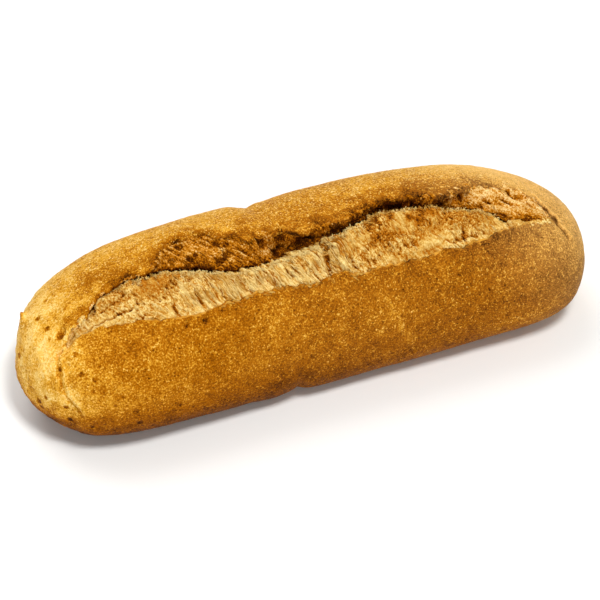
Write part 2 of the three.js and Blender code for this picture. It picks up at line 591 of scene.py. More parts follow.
    def lip_away(self, x: np.ndarray, angle: np.ndarray, lip: Lip, torn: float) -> np.ndarray:
        """How far the crust lies from a lip."""
        edge = self.section(x, self.lip_angle(x, lip, torn) + 0 * angle)
        return np.linalg.norm(self.section(x, angle) - edge, axis=-1)

    def lip_rise(self, x: np.ndarray, angle: np.ndarray, lip: Lip, torn: float) -> np.ndarray:
        """How far the crust stands up near a lip."""
        return lip.rise * self.openness(x) * fade(self.lip_away(x, angle, lip, torn), lip.reach)

    def stations(self, count: int) -> np.ndarray:
        """Divides the roll's near outline, seen from above, into even steps.

        Args:
            count: The number of steps.

        Returns:
            The stations between the steps, with both ends.
        """
        x = -self.length / 2 * np.cos(np.linspace(0, math.pi, self.outline_steps))
        y = self.half_width(x, np.array(True))
        walked = np.concatenate([[0], np.cumsum(np.hypot(np.diff(x), np.diff(y)))])
        return np.interp(np.linspace(0, walked[-1], count + 1), walked, x)


@dataclass
class SlashFrame:
    """Where the slash lies at each station: its edges, the way across and up, and the dome's swell."""

    form: RollForm
    x: np.ndarray
    torn: float = 0.0
    near: np.ndarray = field(init=False)
    width: np.ndarray = field(init=False)
    across: np.ndarray = field(init=False)
    up: np.ndarray = field(init=False)
    swell: np.ndarray = field(init=False)

    def __post_init__(self) -> None:
        """Works out the edges, directions and swell from the form."""
        x, form = self.x, self.form
        angles = {lip: form.lip_angle(x, lip, self.torn) for lip in Lip}
        rises = {lip: form.lip_rise(x, angles[lip], lip, self.torn) for lip in Lip}
        edges = {lip: form.crust(x, angles[lip], rises[lip]) for lip in Lip}
        chord = edges[Lip.FAR] - edges[Lip.NEAR]
        self.near = edges[Lip.NEAR]
        self.width = np.maximum(np.linalg.norm(chord, axis=-1), form.narrowest)
        self.across = chord / self.width[:, None]
        self.up = np.stack([-self.across[:, 1], self.across[:, 0]], axis=-1)
        between = (angles[Lip.NEAR] + angles[Lip.FAR]) / 2
        dome = form.crust(x, between, np.zeros_like(x))
        self.swell = np.sum((dome - self.near) * self.up, axis=-1)

    def place(self, across: np.ndarray, depth: np.ndarray) -> np.ndarray:
        """Puts points of the slash in the roll's frame.

        Args:
            across: Distance from the near lip, by station and point.
            depth: Depth below the old dome, by station and point.

        Returns:
            Points of shape (stations, points, 3).
        """
        share = across / self.width[:, None]
        inside = 4 * np.clip(share * (1 - share), 0, None)
        height = inside * self.swell[:, None] - depth
        yz = (
            self.near[:, None, :]
            + self.across[:, None, :] * across[..., None]
            + self.up[:, None, :] * height[..., None]
        )
        x = np.broadcast_to(self.x[:, None], across.shape)
        return np.concatenate([x[..., None], yz], axis=-1)


def write_piece(
    name: str, model: bmesh.types.BMesh, values: dict[str, np.ndarray], material: bpy.types.Material,
) -> bpy.types.Object:
    """Turns a finished model into a smooth piece at the origin, with its place in its mesh.

    Args:
        name: The piece's name.
        model: The model in millimetres, which is freed.
        values: Values by name for the piece's material, one for each vertex.
        material: The piece's material.

    Returns:
        The new object.
    """
    for face in model.faces:
        face.smooth = True
    bmesh.ops.recalc_face_normals(model, faces=model.faces)
    mesh = bpy.data.meshes.new(name)
    model.to_mesh(mesh)
    model.free()
    places = np.empty(3 * len(mesh.vertices))
    mesh.vertices.foreach_get("co", places)
    mesh.vertices.foreach_set("co", inside_box(places.reshape(-1, 3)).ravel() * MM)
    for key, value in values.items():
        layer = mesh.attributes.new(key, "FLOAT", "POINT")
        layer.data.foreach_set("value", value.astype(np.float32))
    mesh.materials.append(material)
    mesh.update()
    piece = bpy.data.objects.new(name, mesh)
    bpy.context.scene.collection.objects.link(piece)
    return piece


def sphere_places(model: bmesh.types.BMesh, rings: int) -> tuple[np.ndarray, np.ndarray]:
    """Finds where the vertices of a sphere lie on it.

    Args:
        model: The sphere.
        rings: Its number of steps from tip to tip.

    Returns:
        Each vertex's ring, from 0 at the first tip, and its turn about the axis in radians.
    """
    co = np.array([vertex.co for vertex in model.verts])
    from_axis = np.hypot(co[:, 0], co[:, 1])
    ring = np.rint(np.arctan2(from_axis, co[:, 2]) / math.pi * rings).astype(int)
    return ring, np.arctan2(co[:, 1], co[:, 0])


def ring_mesh(
    name: str, points: np.ndarray, values: dict[str, np.ndarray], material: bpy.types.Material,
) -> bpy.types.Object:
    """Moves the rings of a sphere onto a grid of points, and closes it at both tips.

    Args:
        name: The piece's name.
        points: Points in millimetres of shape (rings + 1, sides, 3). The first and last row are the tips.
        values: Values by name for the piece's material, of shape (rings + 1, sides).
        material: The piece's material.

    Returns:
        The new object.
    """
    rings, sides = points.shape[0] - 1, points.shape[1]
    model = bmesh.new()
    bmesh.ops.create_uvsphere(model, u_segments=sides, v_segments=rings, radius=1.0)
    row, turn = sphere_places(model, rings)
    side = np.rint(turn / (2 * math.pi) * sides).astype(int) % sides
    for vertex, point in zip(model.verts, points[row, side]):
        vertex.co = point
    return write_piece(name, model, {key: value[row, side] for key, value in values.items()}, material)


@dataclass(frozen=True, kw_only=True)
class Finish:
    """What both baked surfaces share: shades by how baked they are, a soft sheen and fine bumps."""

    name: str
    shades: tuple[tuple[float, str], ...]
    roughness: float
    specular: float
    ior: float
    bump_mm: float
    bump_strength: float

    def begun(self) -> tuple[bpy.types.Material, bpy.types.NodeSocket]:
        """Starts the material.

        Returns:
            The material with no other nodes yet, and the place on the piece.
        """
        material = bpy.data.materials.new(self.name)
        material.use_nodes = True
        material.node_tree.nodes.clear()
        place = add_node(material.node_tree, "ShaderNodeTexCoord", {}, {})
        return material, place.outputs["Object"]

    def carried(self, tree: bpy.types.NodeTree, names: tuple[str, ...]) -> dict[str, bpy.types.NodeSocket]:
        """Reads the values that the piece carries in its mesh.

        Args:
            tree: The material's node tree.
            names: The values' names.

        Returns:
            The values by name.
        """
        return {
            name: add_node(tree, "ShaderNodeAttribute", {"attribute_name": name}, {}).outputs["Fac"]
            for name in names
        }

    def shaded(self, tree: bpy.types.NodeTree, baked: bpy.types.NodeSocket) -> bpy.types.NodeSocket:
        """Turns how baked the surface is into its shade.

        Args:
            tree: The material's node tree.
            baked: How baked the surface is, on the scale of the shades.

        Returns:
            The shade.
        """
        palest, darkest = self.shades[0][0], self.shades[-1][0]
        spread = add_node(tree, "ShaderNodeMapRange", {}, {
            "Value": baked, "From Min": palest, "From Max": darkest,
        })
        ramp = add_node(tree, "ShaderNodeValToRGB", {}, {"Fac": spread.outputs["Result"]})
        stops = ramp.color_ramp.elements
        for place, _ in self.shades[1:-1]:
            stops.new((place - palest) / (darkest - palest))
        for stop, (_, shade) in zip(stops, self.shades):
            stop.color = linear(shade)
        return ramp.outputs["Color"]

    def surfaced(
        self, tree: bpy.types.NodeTree, colour: bpy.types.NodeSocket, height: bpy.types.NodeSocket,
    ) -> None:
        """Adds the bumps, the shader and the output.

        Args:
            tree: The material's node tree.
            colour: The surface's colour.
            height: The height of its fine bumps.
        """
        bump = add_node(tree, "ShaderNodeBump", {}, {
            "Height": height, "Strength": self.bump_strength, "Distance": self.bump_mm * MM,
        })
        shader = add_node(tree, "ShaderNodeBsdfPrincipled", {}, {
            "Base Color": colour,
            "Roughness": self.roughness,
            "IOR": self.ior,
            "Specular IOR Level": self.specular,
            "Normal": bump.outputs["Normal"],
        })
        add_node(tree, "ShaderNodeOutputMaterial", {}, {"Surface": shader.outputs["BSDF"]})


@dataclass(frozen=True, kw_only=True)
class CrustFinish(Finish):
    """Baked crust of brown dough: thin, hard and satin, golden brown with pale blisters, partly painted
    glints, and dark pits, partly painted shade.
    """

    name: str = "baked_brown_crust"
    # From the palest blister through golden crust to near black, which is painted shade inside the slash
    shades: tuple[tuple[float, str], ...] = (
        (-0.11, "#ffdc8c"), (0.0, "#f6c96a"), (0.25, "#dd9f2c"), (0.5, "#aa6304"), (0.75, "#7e4402"),
        (1.0, "#3c1c02"),
    )
    rim: str = "#d79a38"
    # A pale tan blended in on the right end and far top: partly flour dust, partly a painted sheen
    dust_and_sheen: str = "#dcaa60"
    roughness: float = 0.5
    specular: float = 0.02
    ior: float = 1.45
    bump_mm: float = 0.25
    bump_strength: float = 0.7
    mottle_mm: float = 3.0
    curl_mm: float = 1.4
    patch_mm: float = 1.2
    # Real blisters and grain are 0.2 mm and finer; these are drawn coarser so that they show in the picture
    blister_mm: float = 0.68
    grain_mm: float = 0.52
    speck_mm: float = 1.5
    pit_mm: float = 4.0

    def material(self) -> bpy.types.Material:
        """Builds the crust's nodes.

        Returns:
            The material.
        """
        material, place = self.begun()
        tree = material.node_tree
        clouds = {
            name: add_node(tree, "ShaderNodeTexNoise", {}, {
                "Vector": place, "Scale": 1 / (size * MM), "Detail": detail,
            }).outputs["Fac"]
            for name, size, detail in (
                ("mottle", self.mottle_mm, 3.0), ("curl", self.curl_mm, 1.0),
                ("patch", self.patch_mm, 1.0), ("grain", self.grain_mm, 2.0),
            )
        }
        cells = {
            name: add_node(tree, "ShaderNodeTexVoronoi", {}, {"Vector": place, "Scale": 1 / (size * MM)})
            for name, size in (("blister", self.blister_mm), ("speck", self.speck_mm), ("pit", self.pit_mm))
        }
        carried = self.carried(tree, ("bake_and_shade", "rim", "pitted", "dust_and_sheen", "blistered"))
        line = add_math(tree, "ABSOLUTE", add_math(tree, "SUBTRACT", clouds["curl"], 0.5))
        steps = {
            name: add_node(tree, "ShaderNodeMapRange", {"interpolation_type": "SMOOTHSTEP"}, {
                "Value": socket, "From Min": low, "From Max": high,
            }).outputs["Result"]
            for name, socket, low, high in (
                ("curl", line, 0.04, 0.012),
                ("patch", clouds["patch"], 0.46, 0.56),
                ("dot", cells["blister"].outputs["Distance"], 0.4, 0.2),
                ("some dots", cells["blister"].outputs["Color"], 0.35, 0.7),
                ("speck", cells["speck"].outputs["Distance"], 0.3, 0.15),
                ("some specks", cells["speck"].outputs["Color"], 0.5, 0.65),
                ("pit", cells["pit"].outputs["Distance"], 0.3, 0.14),
                ("some pits", cells["pit"].outputs["Color"], 0.3, 0.4),
            )
        }
        curls, glinting_dots, specks, pits = (
            add_math(tree, "MULTIPLY", steps[mark], steps[where])
            for mark, where in (
                ("curl", "patch"), ("dot", "some dots"), ("speck", "some specks"), ("pit", "some pits"),
            )
        )
        curls, glinting_dots = (add_math(tree, "MULTIPLY", mark, carried["blistered"]) for mark in (curls, glinting_dots))
        pits = add_math(tree, "MULTIPLY", pits, carried["pitted"])
        bake_and_shade, height = carried["bake_and_shade"], clouds["grain"]
        # Paler dots are blisters and partly painted glints where they catch the light; darker pits are
        # partly painted shade in the small holes
        for part, middle, browner, higher in (
            (clouds["mottle"], 0.5, 0.4, 0.0),
            (clouds["grain"], 0.5, 1.0, 0.0),
            (curls, 0.0, -0.25, 0.6),
            (glinting_dots, 0.0, -0.26, 0.7),
            (specks, 0.0, 0.18, -0.3),
            (pits, 0.0, 0.5, -1.0),
        ):
            part = add_math(tree, "SUBTRACT", part, middle)
            bake_and_shade = add_math(tree, "MULTIPLY_ADD", part, browner, bake_and_shade)
            height = add_math(tree, "MULTIPLY_ADD", part, higher, height)
        colour = self.shaded(tree, bake_and_shade)
        # Dust and painted sheen tint the colour, then the torn crust's paler rim
        for name, tint, blend in (("dust_and_sheen", self.dust_and_sheen, "COLOR"), ("rim", self.rim, "MIX")):
            colour = add_node(tree, "ShaderNodeMix", {"data_type": "RGBA", "blend_type": blend}, {
                0: carried[name], 6: colour, 7: linear(tint),
            }).outputs[2]
        self.surfaced(tree, colour, height)
        return material


@dataclass(frozen=True, kw_only=True)
class CrumbFinish(Finish):
    """Torn wholemeal crumb: matt, soft and fibrous, cream where fresh and toasted where it stood out."""

    lean: float
    # From the palest edge of a strand to dark brown, which is painted shade at the bottom of the crevice
    shades: tuple[tuple[float, str], ...] = (
        (0.0, "#eed28a"), (0.25, "#dab160"), (0.45, "#c48f38"), (0.68, "#ac6206"), (1.0, "#552803"),
    )
    roughness: float = 0.9
    specular: float = 0.05
    ior: float = 1.4
    bump_mm: float = 0.35
    bump_strength: float = 0.8
    fleck_mm: float = 1.3
    flecked: float = 0.45
    # Real fibres are 0.1 mm and finer; these are drawn coarser so that they show in the picture
    grain_mm: float = 0.4
    grain_length_mm: float = 0.55
    fibre_mm: float = 0.4
    fibre_length_mm: float = 2.8

    def material(self) -> bpy.types.Material:
        """Builds the crumb's nodes.

        Returns:
            The material.
        """
        material, place = self.begun()
        tree = material.node_tree
        drawn_out = {
            name: add_node(tree, "ShaderNodeMapping", {"vector_type": "TEXTURE"}, {
                "Vector": place,
                "Rotation": (0.0, 0.0, math.atan(self.lean)),
                "Scale": (size * MM, length * MM, length * MM),
            }).outputs["Vector"]
            for name, size, length in (
                ("grain", self.grain_mm, self.grain_length_mm),
                ("fleck", self.fleck_mm, self.fleck_mm),
                ("fibre", self.fibre_mm, self.fibre_length_mm),
            )
        }
        clouds = {
            name: add_node(tree, "ShaderNodeTexNoise", {}, {
                "Vector": vector, "Scale": 1.0, "Detail": 2.0,
            }).outputs["Fac"]
            for name, vector in drawn_out.items()
        }
        # toast holds toasting together with painted shade and light
        carried = self.carried(tree, ("toast", "drawn", "grit"))
        toast = carried["toast"]
        for name, weight in (
            ("fleck", self.flecked), ("fibre", carried["drawn"]), ("grain", carried["grit"]),
        ):
            aside = add_math(tree, "SUBTRACT", clouds[name], 0.5)
            toast = add_math(tree, "MULTIPLY_ADD", aside, weight, toast)
        height = add_math(tree, "ADD", clouds["grain"], clouds["fibre"])
        self.surfaced(tree, self.shaded(tree, toast), height)
        return material


@dataclass(frozen=True)
class CrumbGrain:
    """The relief of torn crumb: swells, crags and holes, or bundles, fibres and gaps where it is drawn out.

    Each kind has a seed of its own, counted on from the crumb's seed.
    """

    seed: int
    lean: float
    # Heights in millimetres
    swell: float = 0.9
    crag: float = 0.85
    bundle: float = 0.9
    fibre: float = 0.8
    gap: float = 0.7
    hole: float = 0.5
    grain: float = 0.4
    lump: float = 1.2
    # Sizes in millimetres, of which those of bundles, gaps and holes grow with coarse
    coarse: float = 1.0
    bends: tuple[tuple[float, float], ...] = ((1.8, 9.0), (0.5, 3.0))
    swell_size: tuple[float, float, float] = (11.0, 9.0, 9.0)
    lump_size: tuple[float, float, float] = (5.0, 4.5, 4.5)
    crag_size: float = 2.4
    ridge_size: tuple[float, float, float] = (1.5, 3.0, 3.0)
    bundle_size: tuple[float, float, float] = (2.2, 10.0, 10.0)
    fibre_size: tuple[float, float, float] = (0.8, 5.0, 5.0)
    gap_size: tuple[float, float, float] = (2.4, 6.0, 6.0)
    hole_size: float = 1.7
    grain_size: tuple[float, float, float] = (0.7, 0.9, 0.9)
    skin_size: tuple[float, float, float] = (9.0, 7.0, 7.0)
    # Shares, and the steps of noise over which skin breaks, gaps open and holes open
    crag_share: float = 0.6
    ridge_share: float = 0.9
    least_broken: float = 0.35
    least_fibrous: float = 0.22
    bound: float = 0.85
    breaking: tuple[float, float] = (-0.3, 0.25)
    parting: tuple[float, float] = (0.2, 0.5)
    bursting: tuple[float, float] = (0.34, 0.58)

    def broken(self, points: np.ndarray) -> np.ndarray:
        """How broken the crumb's skin is, from 0 on smooth patches to 1."""
        return smoothstep(rough(points, self.skin_size, self.seed + 11), *self.breaking)

    def widened(self, size: tuple[float, float, float]) -> tuple[float, float, float]:
        """A size that is wider along the roll in coarse crumb."""
        return (size[0] * self.coarse, *size[1:])

    def relief(self, points: np.ndarray, strands: np.ndarray) -> np.ndarray:
        """Height in millimetres at points of the crumb.

        Args:
            points: The smooth crumb's points.
            strands: How far the crumb is drawn out in strands there, from 0 to 1.

        Returns:
            One height for each point.
        """
        seed = self.seed
        bend = sum(far * rough(points, size, seed + nth) for nth, (far, size) in enumerate(self.bends))
        drawn = points.copy()
        drawn[..., 0] += bend + self.lean * points[..., 1]
        swells = self.swell * rough(points, self.swell_size, seed + 2)
        broken = self.least_broken + (1 - self.least_broken) * self.broken(points)
        ridges = crest(rough(drawn, self.ridge_size, seed + 10))
        stones = rough(points, self.crag_size, seed + 3)
        crags = self.crag * broken * (self.crag_share * stones + self.ridge_share * ridges)
        lumps = self.lump * rough(points, self.lump_size, seed + 9)
        bundles = self.bundle * crest(rough(drawn, self.widened(self.bundle_size), seed + 4))
        fibres = self.fibre * crest(rough(drawn, self.fibre_size, seed + 5))
        gaps = self.gap * smoothstep(rough(drawn, self.widened(self.gap_size), seed + 6), *self.parting)
        bubbles = smoothstep(rough(points, self.hole_size * self.coarse, seed + 7), *self.bursting)
        holes = self.hole * broken * bubbles
        grain = self.grain * broken * rough(drawn, self.grain_size, seed + 8)
        loose = (1 - self.bound * strands) * (crags + lumps - holes)
        fibrous = self.least_fibrous + (1 - self.least_fibrous) * strands
        return swells + loose + strands * (bundles - gaps) + fibrous * fibres + grain


@dataclass(frozen=True)
class Tear:
    """A short rip across the crumb, or with a negative depth a bundle of strands that stands up."""

    station: float
    lean: float
    width: float
    depth: float
    start: float
    end: float
    ease: float = 0.1

    def depth_at(self, x: np.ndarray, reach: np.ndarray) -> np.ndarray:
        """Depth of the rip.

        Args:
            x: Stations along the roll.
            reach: Share of the way from the near lip to the crevice.

        Returns:
            Depth in millimetres.
        """
        aside = x - self.station - self.lean * (reach - 0.5)
        begun, ended = (
            smoothstep(reach, end - self.ease, end + self.ease) for end in (self.start, self.end)
        )
        return self.depth * fade(aside, self.width) * begun * (1 - ended)


@dataclass(frozen=True)
class Crack:
    """A thin jagged split that runs along the crumb."""

    start: float
    end: float
    reach: float
    climb: float
    width: float
    depth: float
    seed: int
    jag: float = 0.08
    jag_size: float = 1.6
    ease: float = 0.15

    def depth_at(self, x: np.ndarray, reach: np.ndarray) -> np.ndarray:
        """Depth of the split.

        Args:
            x: Stations along the roll.
            reach: Share of the way from the near lip to the crevice.

        Returns:
            Depth in millimetres.
        """
        run = (x - self.start) / (self.end - self.start)
        line = self.reach + self.climb * run + self.jag * rough_line(x, self.jag_size, self.seed)
        ends = smoothstep(run, 0.0, self.ease) * smoothstep(-run, -1.0, self.ease - 1)
        return self.depth * ends * fade(reach - line, self.width)


@dataclass(frozen=True)
class Pit:
    """A burst bubble in the upper crust or crumb."""

    x: float
    y: float
    radius: float
    depth: float
    lowest: float = 20.0

    def depth_at(self, points: np.ndarray) -> np.ndarray:
        """Depth of the pit at points above its lowest level."""
        away = np.hypot(points[..., 0] - self.x, points[..., 1] - self.y) / self.radius
        return np.where(points[..., 2] > self.lowest, self.depth * np.exp(-away ** 4), 0)


@dataclass(frozen=True)
class Blush:
    """A patch of the crust that baked darker than the rest, or with a negative value paler."""

    x: float
    y: float
    z: float
    spread: float
    browner: float

    def browning_at(self, points: np.ndarray) -> np.ndarray:
        """How much darker the patch makes points of the crust."""
        away = np.linalg.norm(points - np.array([self.x, self.y, self.z]), axis=-1)
        return self.browner * fade(away, self.spread)


@dataclass(frozen=True)
class BakingAndShade:
    """How dark the crust is from place to place, from 0 for the palest to 1 for the slash: mostly how it
    baked, with painted shade in the trough, at the crevice, in the pits and toward the foot, and a painted
    sheen on the far side.
    """

    usual: float = 0.54
    limits: tuple[float, float] = (0.08, 0.9)
    blotches: tuple[Pattern, ...] = (Pattern(0.14, (24.0, 16.0, 16.0), 5), Pattern(0.06, 8.0, 6))
    # The left end is pale, most of all on its flat facet, with darker spots and foot
    left_slope: Rise = Rise(0.75, 58.0, 84.0)
    left_tip: Rise = Rise(1.0, 78.0, 88.0)
    facet_end: Rise = Rise(1.0, 77.0, 83.0)
    facet_side: Rise = Rise(1.0, -4.0, 8.0)
    facet_share: float = 0.25
    left_paler: float = 0.38
    end_spots: Pattern = Pattern(0.32, 5.0, 9)
    end_foot: Rise = Rise(0.48, -24.0, -7.0)
    puckers: float = 0.3
    # The right end grows pale along a slanted way
    right_way: tuple[float, float, float] = (1.0, 0.6, 0.5)
    right_paler: Rise = Rise(0.36, 60.0, 100.0)
    # The near side is darker to the right; the far side is paler, partly a lighter bake and partly a painted
    # sheen; and the foot is darker, as painted shade toward the base, most of all to the left
    facing: Rise = Rise(1.0, 0.0, 18.0)
    facing_right: Rise = Rise(0.09, -40.0, 55.0)
    behind: Rise = Rise(0.19, -3.0, 18.0)
    behind_left: Rise = Rise(0.06, 20.0, 60.0)
    foot: Rise = Rise(1.0, -24.0, -4.0)
    foot_left: float = 0.28
    foot_right: Rise = Rise(0.24, -20.0, 50.0)
    foot_at_end: float = 0.4
    # Along the lips, and in the trough and the pits, which are darkened as painted shade
    near_lip: float = 0.045
    near_lip_reach: float = 5.0
    far_lip_reach: float = 4.5
    far_patches: Pattern = Pattern(1.0, (6.0, 3.5, 3.5), 8)
    far_patch_left: float = 0.3
    far_patch_right: Rise = Rise(0.2, 15.0, 40.0)
    far_patch_reach: float = 9.0
    scorch_reach: float = 1.3
    inside: float = 0.4
    pits: float = 0.4
    # Creases are darker as painted shade in their grooves and paler as a painted highlight on their ridges,
    # more so to the right, flakes are browner, and shreds of the lip paler
    creased: float = 0.15
    creased_right: Rise = Rise(0.2, 0.0, 60.0)
    shreds_paler: float = 0.15


@dataclass
class Crust:
    """The baked crust: the whole outside of the roll, with the trough that its crumb fills."""

    form: RollForm
    finish: CrustFinish
    tear: CrumbGrain
    baking_and_shade: BakingAndShade = BakingAndShade()
    rings: int = 480
    side_points: int = 78
    trough_points: int = 44
    # Points of the trough beside a lip: those that pass from crust to inside, and those of the pale rim
    lip_points: int = 8
    rim_points: int = 10
    crowding: float = 1.35
    trough_margin: float = 2.5
    rim: float = 0.9
    rim_worn: tuple[Pattern, ...] = (Pattern(1.0, 5.0, 43), Pattern(0.6, 1.6, 44))
    rim_shows: Rise = Rise(1.0, -0.5, 0.5)
    near_round: float = 0.4
    base_ease: float = 0.8
    # A distance from the lips that counts as out of their reach, and the least opening that divides one
    far_off: float = 99.0
    least_open: float = 0.02
    # The left end is a little flatter than the round of the form, above its foot
    flat_from: float = 84.0
    flattened: Rise = Rise(0.28, 12.0, 28.0)
    # Relief: all over, on the left end where the dough was folded in, and along the torn lips
    uneven: tuple[Pattern, ...] = (
        Pattern(0.35, (26.0, 20.0, 20.0), 1), Pattern(0.12, 6.5, 2), Pattern(0.08, 1.9, 3),
    )
    puckered: tuple[Pattern, ...] = (Pattern(0.28, 3.2, 11), Pattern(0.2, 1.5, 12))
    folded_in: Rise = Rise(1.0, 66.0, 80.0)
    chips: tuple[Pattern, ...] = (Pattern(1.0, (3.0, 2.5, 2.5), 4), Pattern(0.6, 1.3, 7))
    chip: float = 0.65
    chip_reach: float = 1.5
    shred: float = 0.5
    shred_reach: float = 3.5
    # Where pits show, darkened as painted shade, where flour dust and a painted sheen lie, and where
    # blisters show with painted glints
    least_pitted: float = 0.15
    pitted: Rise = Rise(0.85, 40.0, 66.0)
    pitted_way: tuple[float, float, float] = (-1.0, 0.0, -0.6)
    dust_and_sheen: Rise = Rise(0.75, 50.0, 105.0)
    dust_and_sheen_way: tuple[float, float, float] = (1.0, 0.3, 0.5)
    dust_and_sheen_right: Rise = Rise(0.05, -50.0, 10.0)
    least_blistered: float = 0.85
    blistered_far: Rise = Rise(0.8, -8.0, 10.0)
    blistered_right: Rise = Rise(0.3, -50.0, 50.0)
    # Lines along the slash: how the far lip rolls over, how brown it is, how dark right at its edge, where
    # scorch and painted shade of the crevice meet, and how ragged it is
    far_round: tuple[float, ...] = (0.4, 0.8, 0.9, 0.5, 0.5, 1.2, 2.0, 1.6, 0.6, 0.5, 0.4)
    far_brown: tuple[float, ...] = (0.0, 0.0, 0.04, 0.04, 0.02, 0.02, 0.12, 0.14, 0.18, 0.08, 0.0)
    far_scorch_and_shade: tuple[float, ...] = (0.0, 0.25, 0.32, 0.05, 0.10, 0.25, 0.30, 0.25, 0.12, 0.06, 0.0)
    ragged: tuple[float, ...] = (0.4, 0.5, 0.7, 1.0, 1.0, 1.0, 0.7, 0.35, 0.5, 0.4, 0.3)
    pits: tuple[Pit, ...] = (
        Pit(-76.8, -9.2, 1.3, 1.5),
        Pit(-37.7, -21.9, 0.8, 1.0),
        Pit(-43.3, -21.7, 0.7, 0.9),
        Pit(-37.0, 3.9, 1.3, 1.2),
    )
    # Patches of the near side and of the top behind the slash, then three along a faint seam
    blushes: tuple[Blush, ...] = (
        Blush(-17.5, -26.3, 35.0, 9.0, -0.13),
        Blush(-30.0, -29.6, 19.0, 11.0, 0.09),
        Blush(1.5, -29.6, 19.0, 10.0, 0.08),
        Blush(-49.0, -30.0, 16.0, 12.0, 0.04),
        Blush(-69.0, -28.0, 17.0, 10.0, 0.02),
        Blush(-74.0, -24.0, 34.0, 8.0, -0.05),
        Blush(-47.8, -25.2, 36.0, 7.0, -0.05),
        Blush(16.0, -27.4, 32.5, 7.0, -0.06),
        Blush(-30.0, 10.0, 46.0, 10.0, -0.04),
        Blush(3.0, 9.5, 46.0, 10.0, -0.04),
        Blush(49.0, 5.0, 45.0, 10.0, 0.05),
        Blush(36.0, -29.7, 25.0, 12.0, 0.035),
        Blush(18.2, -28.4, 28.8, 2.2, -0.13),
        Blush(20.3, -29.6, 23.4, 2.0, -0.14),
        Blush(22.6, -29.8, 17.6, 1.8, -0.14),
    )
    points: np.ndarray = field(init=False)

    def trough(self, slash: SlashFrame) -> np.ndarray:
        """The trough under the slash, from lip to lip.

        Args:
            slash: Where the slash lies at each station.

        Returns:
            Points of shape (stations, trough points - 1, 3), without the two lips.
        """
        form, x, width = self.form, slash.x, slash.width
        depth = form.along_slash(form.crevice_depth, x) + self.trough_margin
        far_round = form.along_slash(self.far_round, x)
        hollow = form.undercut * depth
        zero = np.zeros_like(x)
        # Controls in order: the near lip's rim, its wall, the floor, the wall under the far lip, that lip
        across = np.stack([
            zero, zero + 0.4 * self.rim, zero + self.rim, zero + self.rim, 0.2 * width,
            0.8 * width, width + hollow, width + 0.6 * hollow, width + 0.15, width,
        ], axis=-1)
        down = np.stack([
            zero + self.near_round, zero + self.near_round + 0.1, zero + 1.5, 0.6 * depth, depth,
            depth, 0.8 * depth, 0.5 * depth + 0.5 * far_round, far_round + 0.8, far_round,
        ], axis=-1)
        places = np.linspace(0, across.shape[1] - 1, self.trough_points + 1)
        open_here = form.openness(x)[:, None]
        even = np.linspace(0, 1, self.trough_points + 1) * width[:, None]
        spread = even + (spline(across, places) - even) * open_here
        return slash.place(spread, spline(down, places) * open_here)[:, 1:-1]

    def side(self, x: np.ndarray, lip: Lip) -> tuple[np.ndarray, np.ndarray, np.ndarray]:
        """One side of the outer crust, from the base to a lip or from a lip to the base.

        Args:
            x: Stations along the roll.
            lip: The lip on that side.

        Returns:
            Points of shape (stations, points, 3), their distance from the lip, and how far they are creased
            or flaked.
        """
        form, column = self.form, x[:, None]
        edge = form.lip_angle(x, lip, 1.0)[:, None]
        share = np.linspace(0, 1, self.side_points + 1) ** self.crowding
        if lip is Lip.NEAR:
            angle = edge * (1 - share[::-1])
            radius = self.near_round + 0 * column
        else:
            angle = edge + (2 * math.pi - edge) * share[:-1]
            radius = form.along_slash(self.far_round, column)
        away = form.lip_away(column, angle, lip, 1.0)
        turn = np.clip(1 - away / radius, 0, 1)
        rolled = form.openness(column) * radius * (1 - np.sqrt(1 - turn ** 2))
        yz = form.crust(column, angle, form.lip_rise(column, angle, lip, 1.0) - rolled)
        points = np.concatenate([np.broadcast_to(column, angle.shape)[..., None], yz], axis=-1)
        return points, away, form.creased(column, angle) + form.flaked(column, angle)

    def puckers(self, points: np.ndarray) -> np.ndarray:
        """Height of the small puckers on the left end, where the dough was folded in."""
        return self.folded_in.at(-points[..., 0]) * sum(pattern.at(points) for pattern in self.puckered)

    def burst(self, points: np.ndarray) -> np.ndarray:
        """Depth of all burst bubbles."""
        return sum(pit.depth_at(points) for pit in self.pits)

    def relief(self, points: np.ndarray, near_away: np.ndarray, shreds: np.ndarray) -> np.ndarray:
        """Lumps, wrinkles, torn edges and pits of the crust.

        Args:
            points: The smooth crust's points.
            near_away: Distance from the near lip.
            shreds: Height of the shreds along the far lip.

        Returns:
            Height in millimetres for each point.
        """
        uneven = sum(pattern.at(points) for pattern in self.uneven)
        chips = sum(pattern.at(points) for pattern in self.chips)
        chipped = self.chip * fade(near_away, self.chip_reach) * chips
        return uneven + self.puckers(points) + chipped + self.shred * shreds - self.burst(points)

    def baked(
        self, points: np.ndarray, near_away: np.ndarray, far_away: np.ndarray, inside: np.ndarray,
    ) -> np.ndarray:
        """How dark the crust is, from 0 for the palest to 1 for the inside of the slash: its bake, with
        painted shade in the trough, at the crevice's edge, in the pits and toward the foot, and a painted
        sheen on the far side.

        Args:
            points: The crust's points.
            near_away: Distance from the near lip.
            far_away: Distance from the far lip.
            inside: 1 in the trough.

        Returns:
            One value for each point.
        """
        form, baking_and_shade = self.form, self.baking_and_shade
        x, y, z = points[..., 0], points[..., 1], points[..., 2]
        facet = baking_and_shade.facet_end.at(-x) * baking_and_shade.facet_side.at(-y)
        left = baking_and_shade.left_slope.at(-x) + baking_and_shade.facet_share * np.maximum(facet, baking_and_shade.left_tip.at(-x))
        facing = baking_and_shade.facing.at(-y)
        lips = baking_and_shade.near_lip * fade(near_away, baking_and_shade.near_lip_reach)
        lips += form.along_slash(self.far_brown, x) * fade(far_away, baking_and_shade.far_lip_reach)
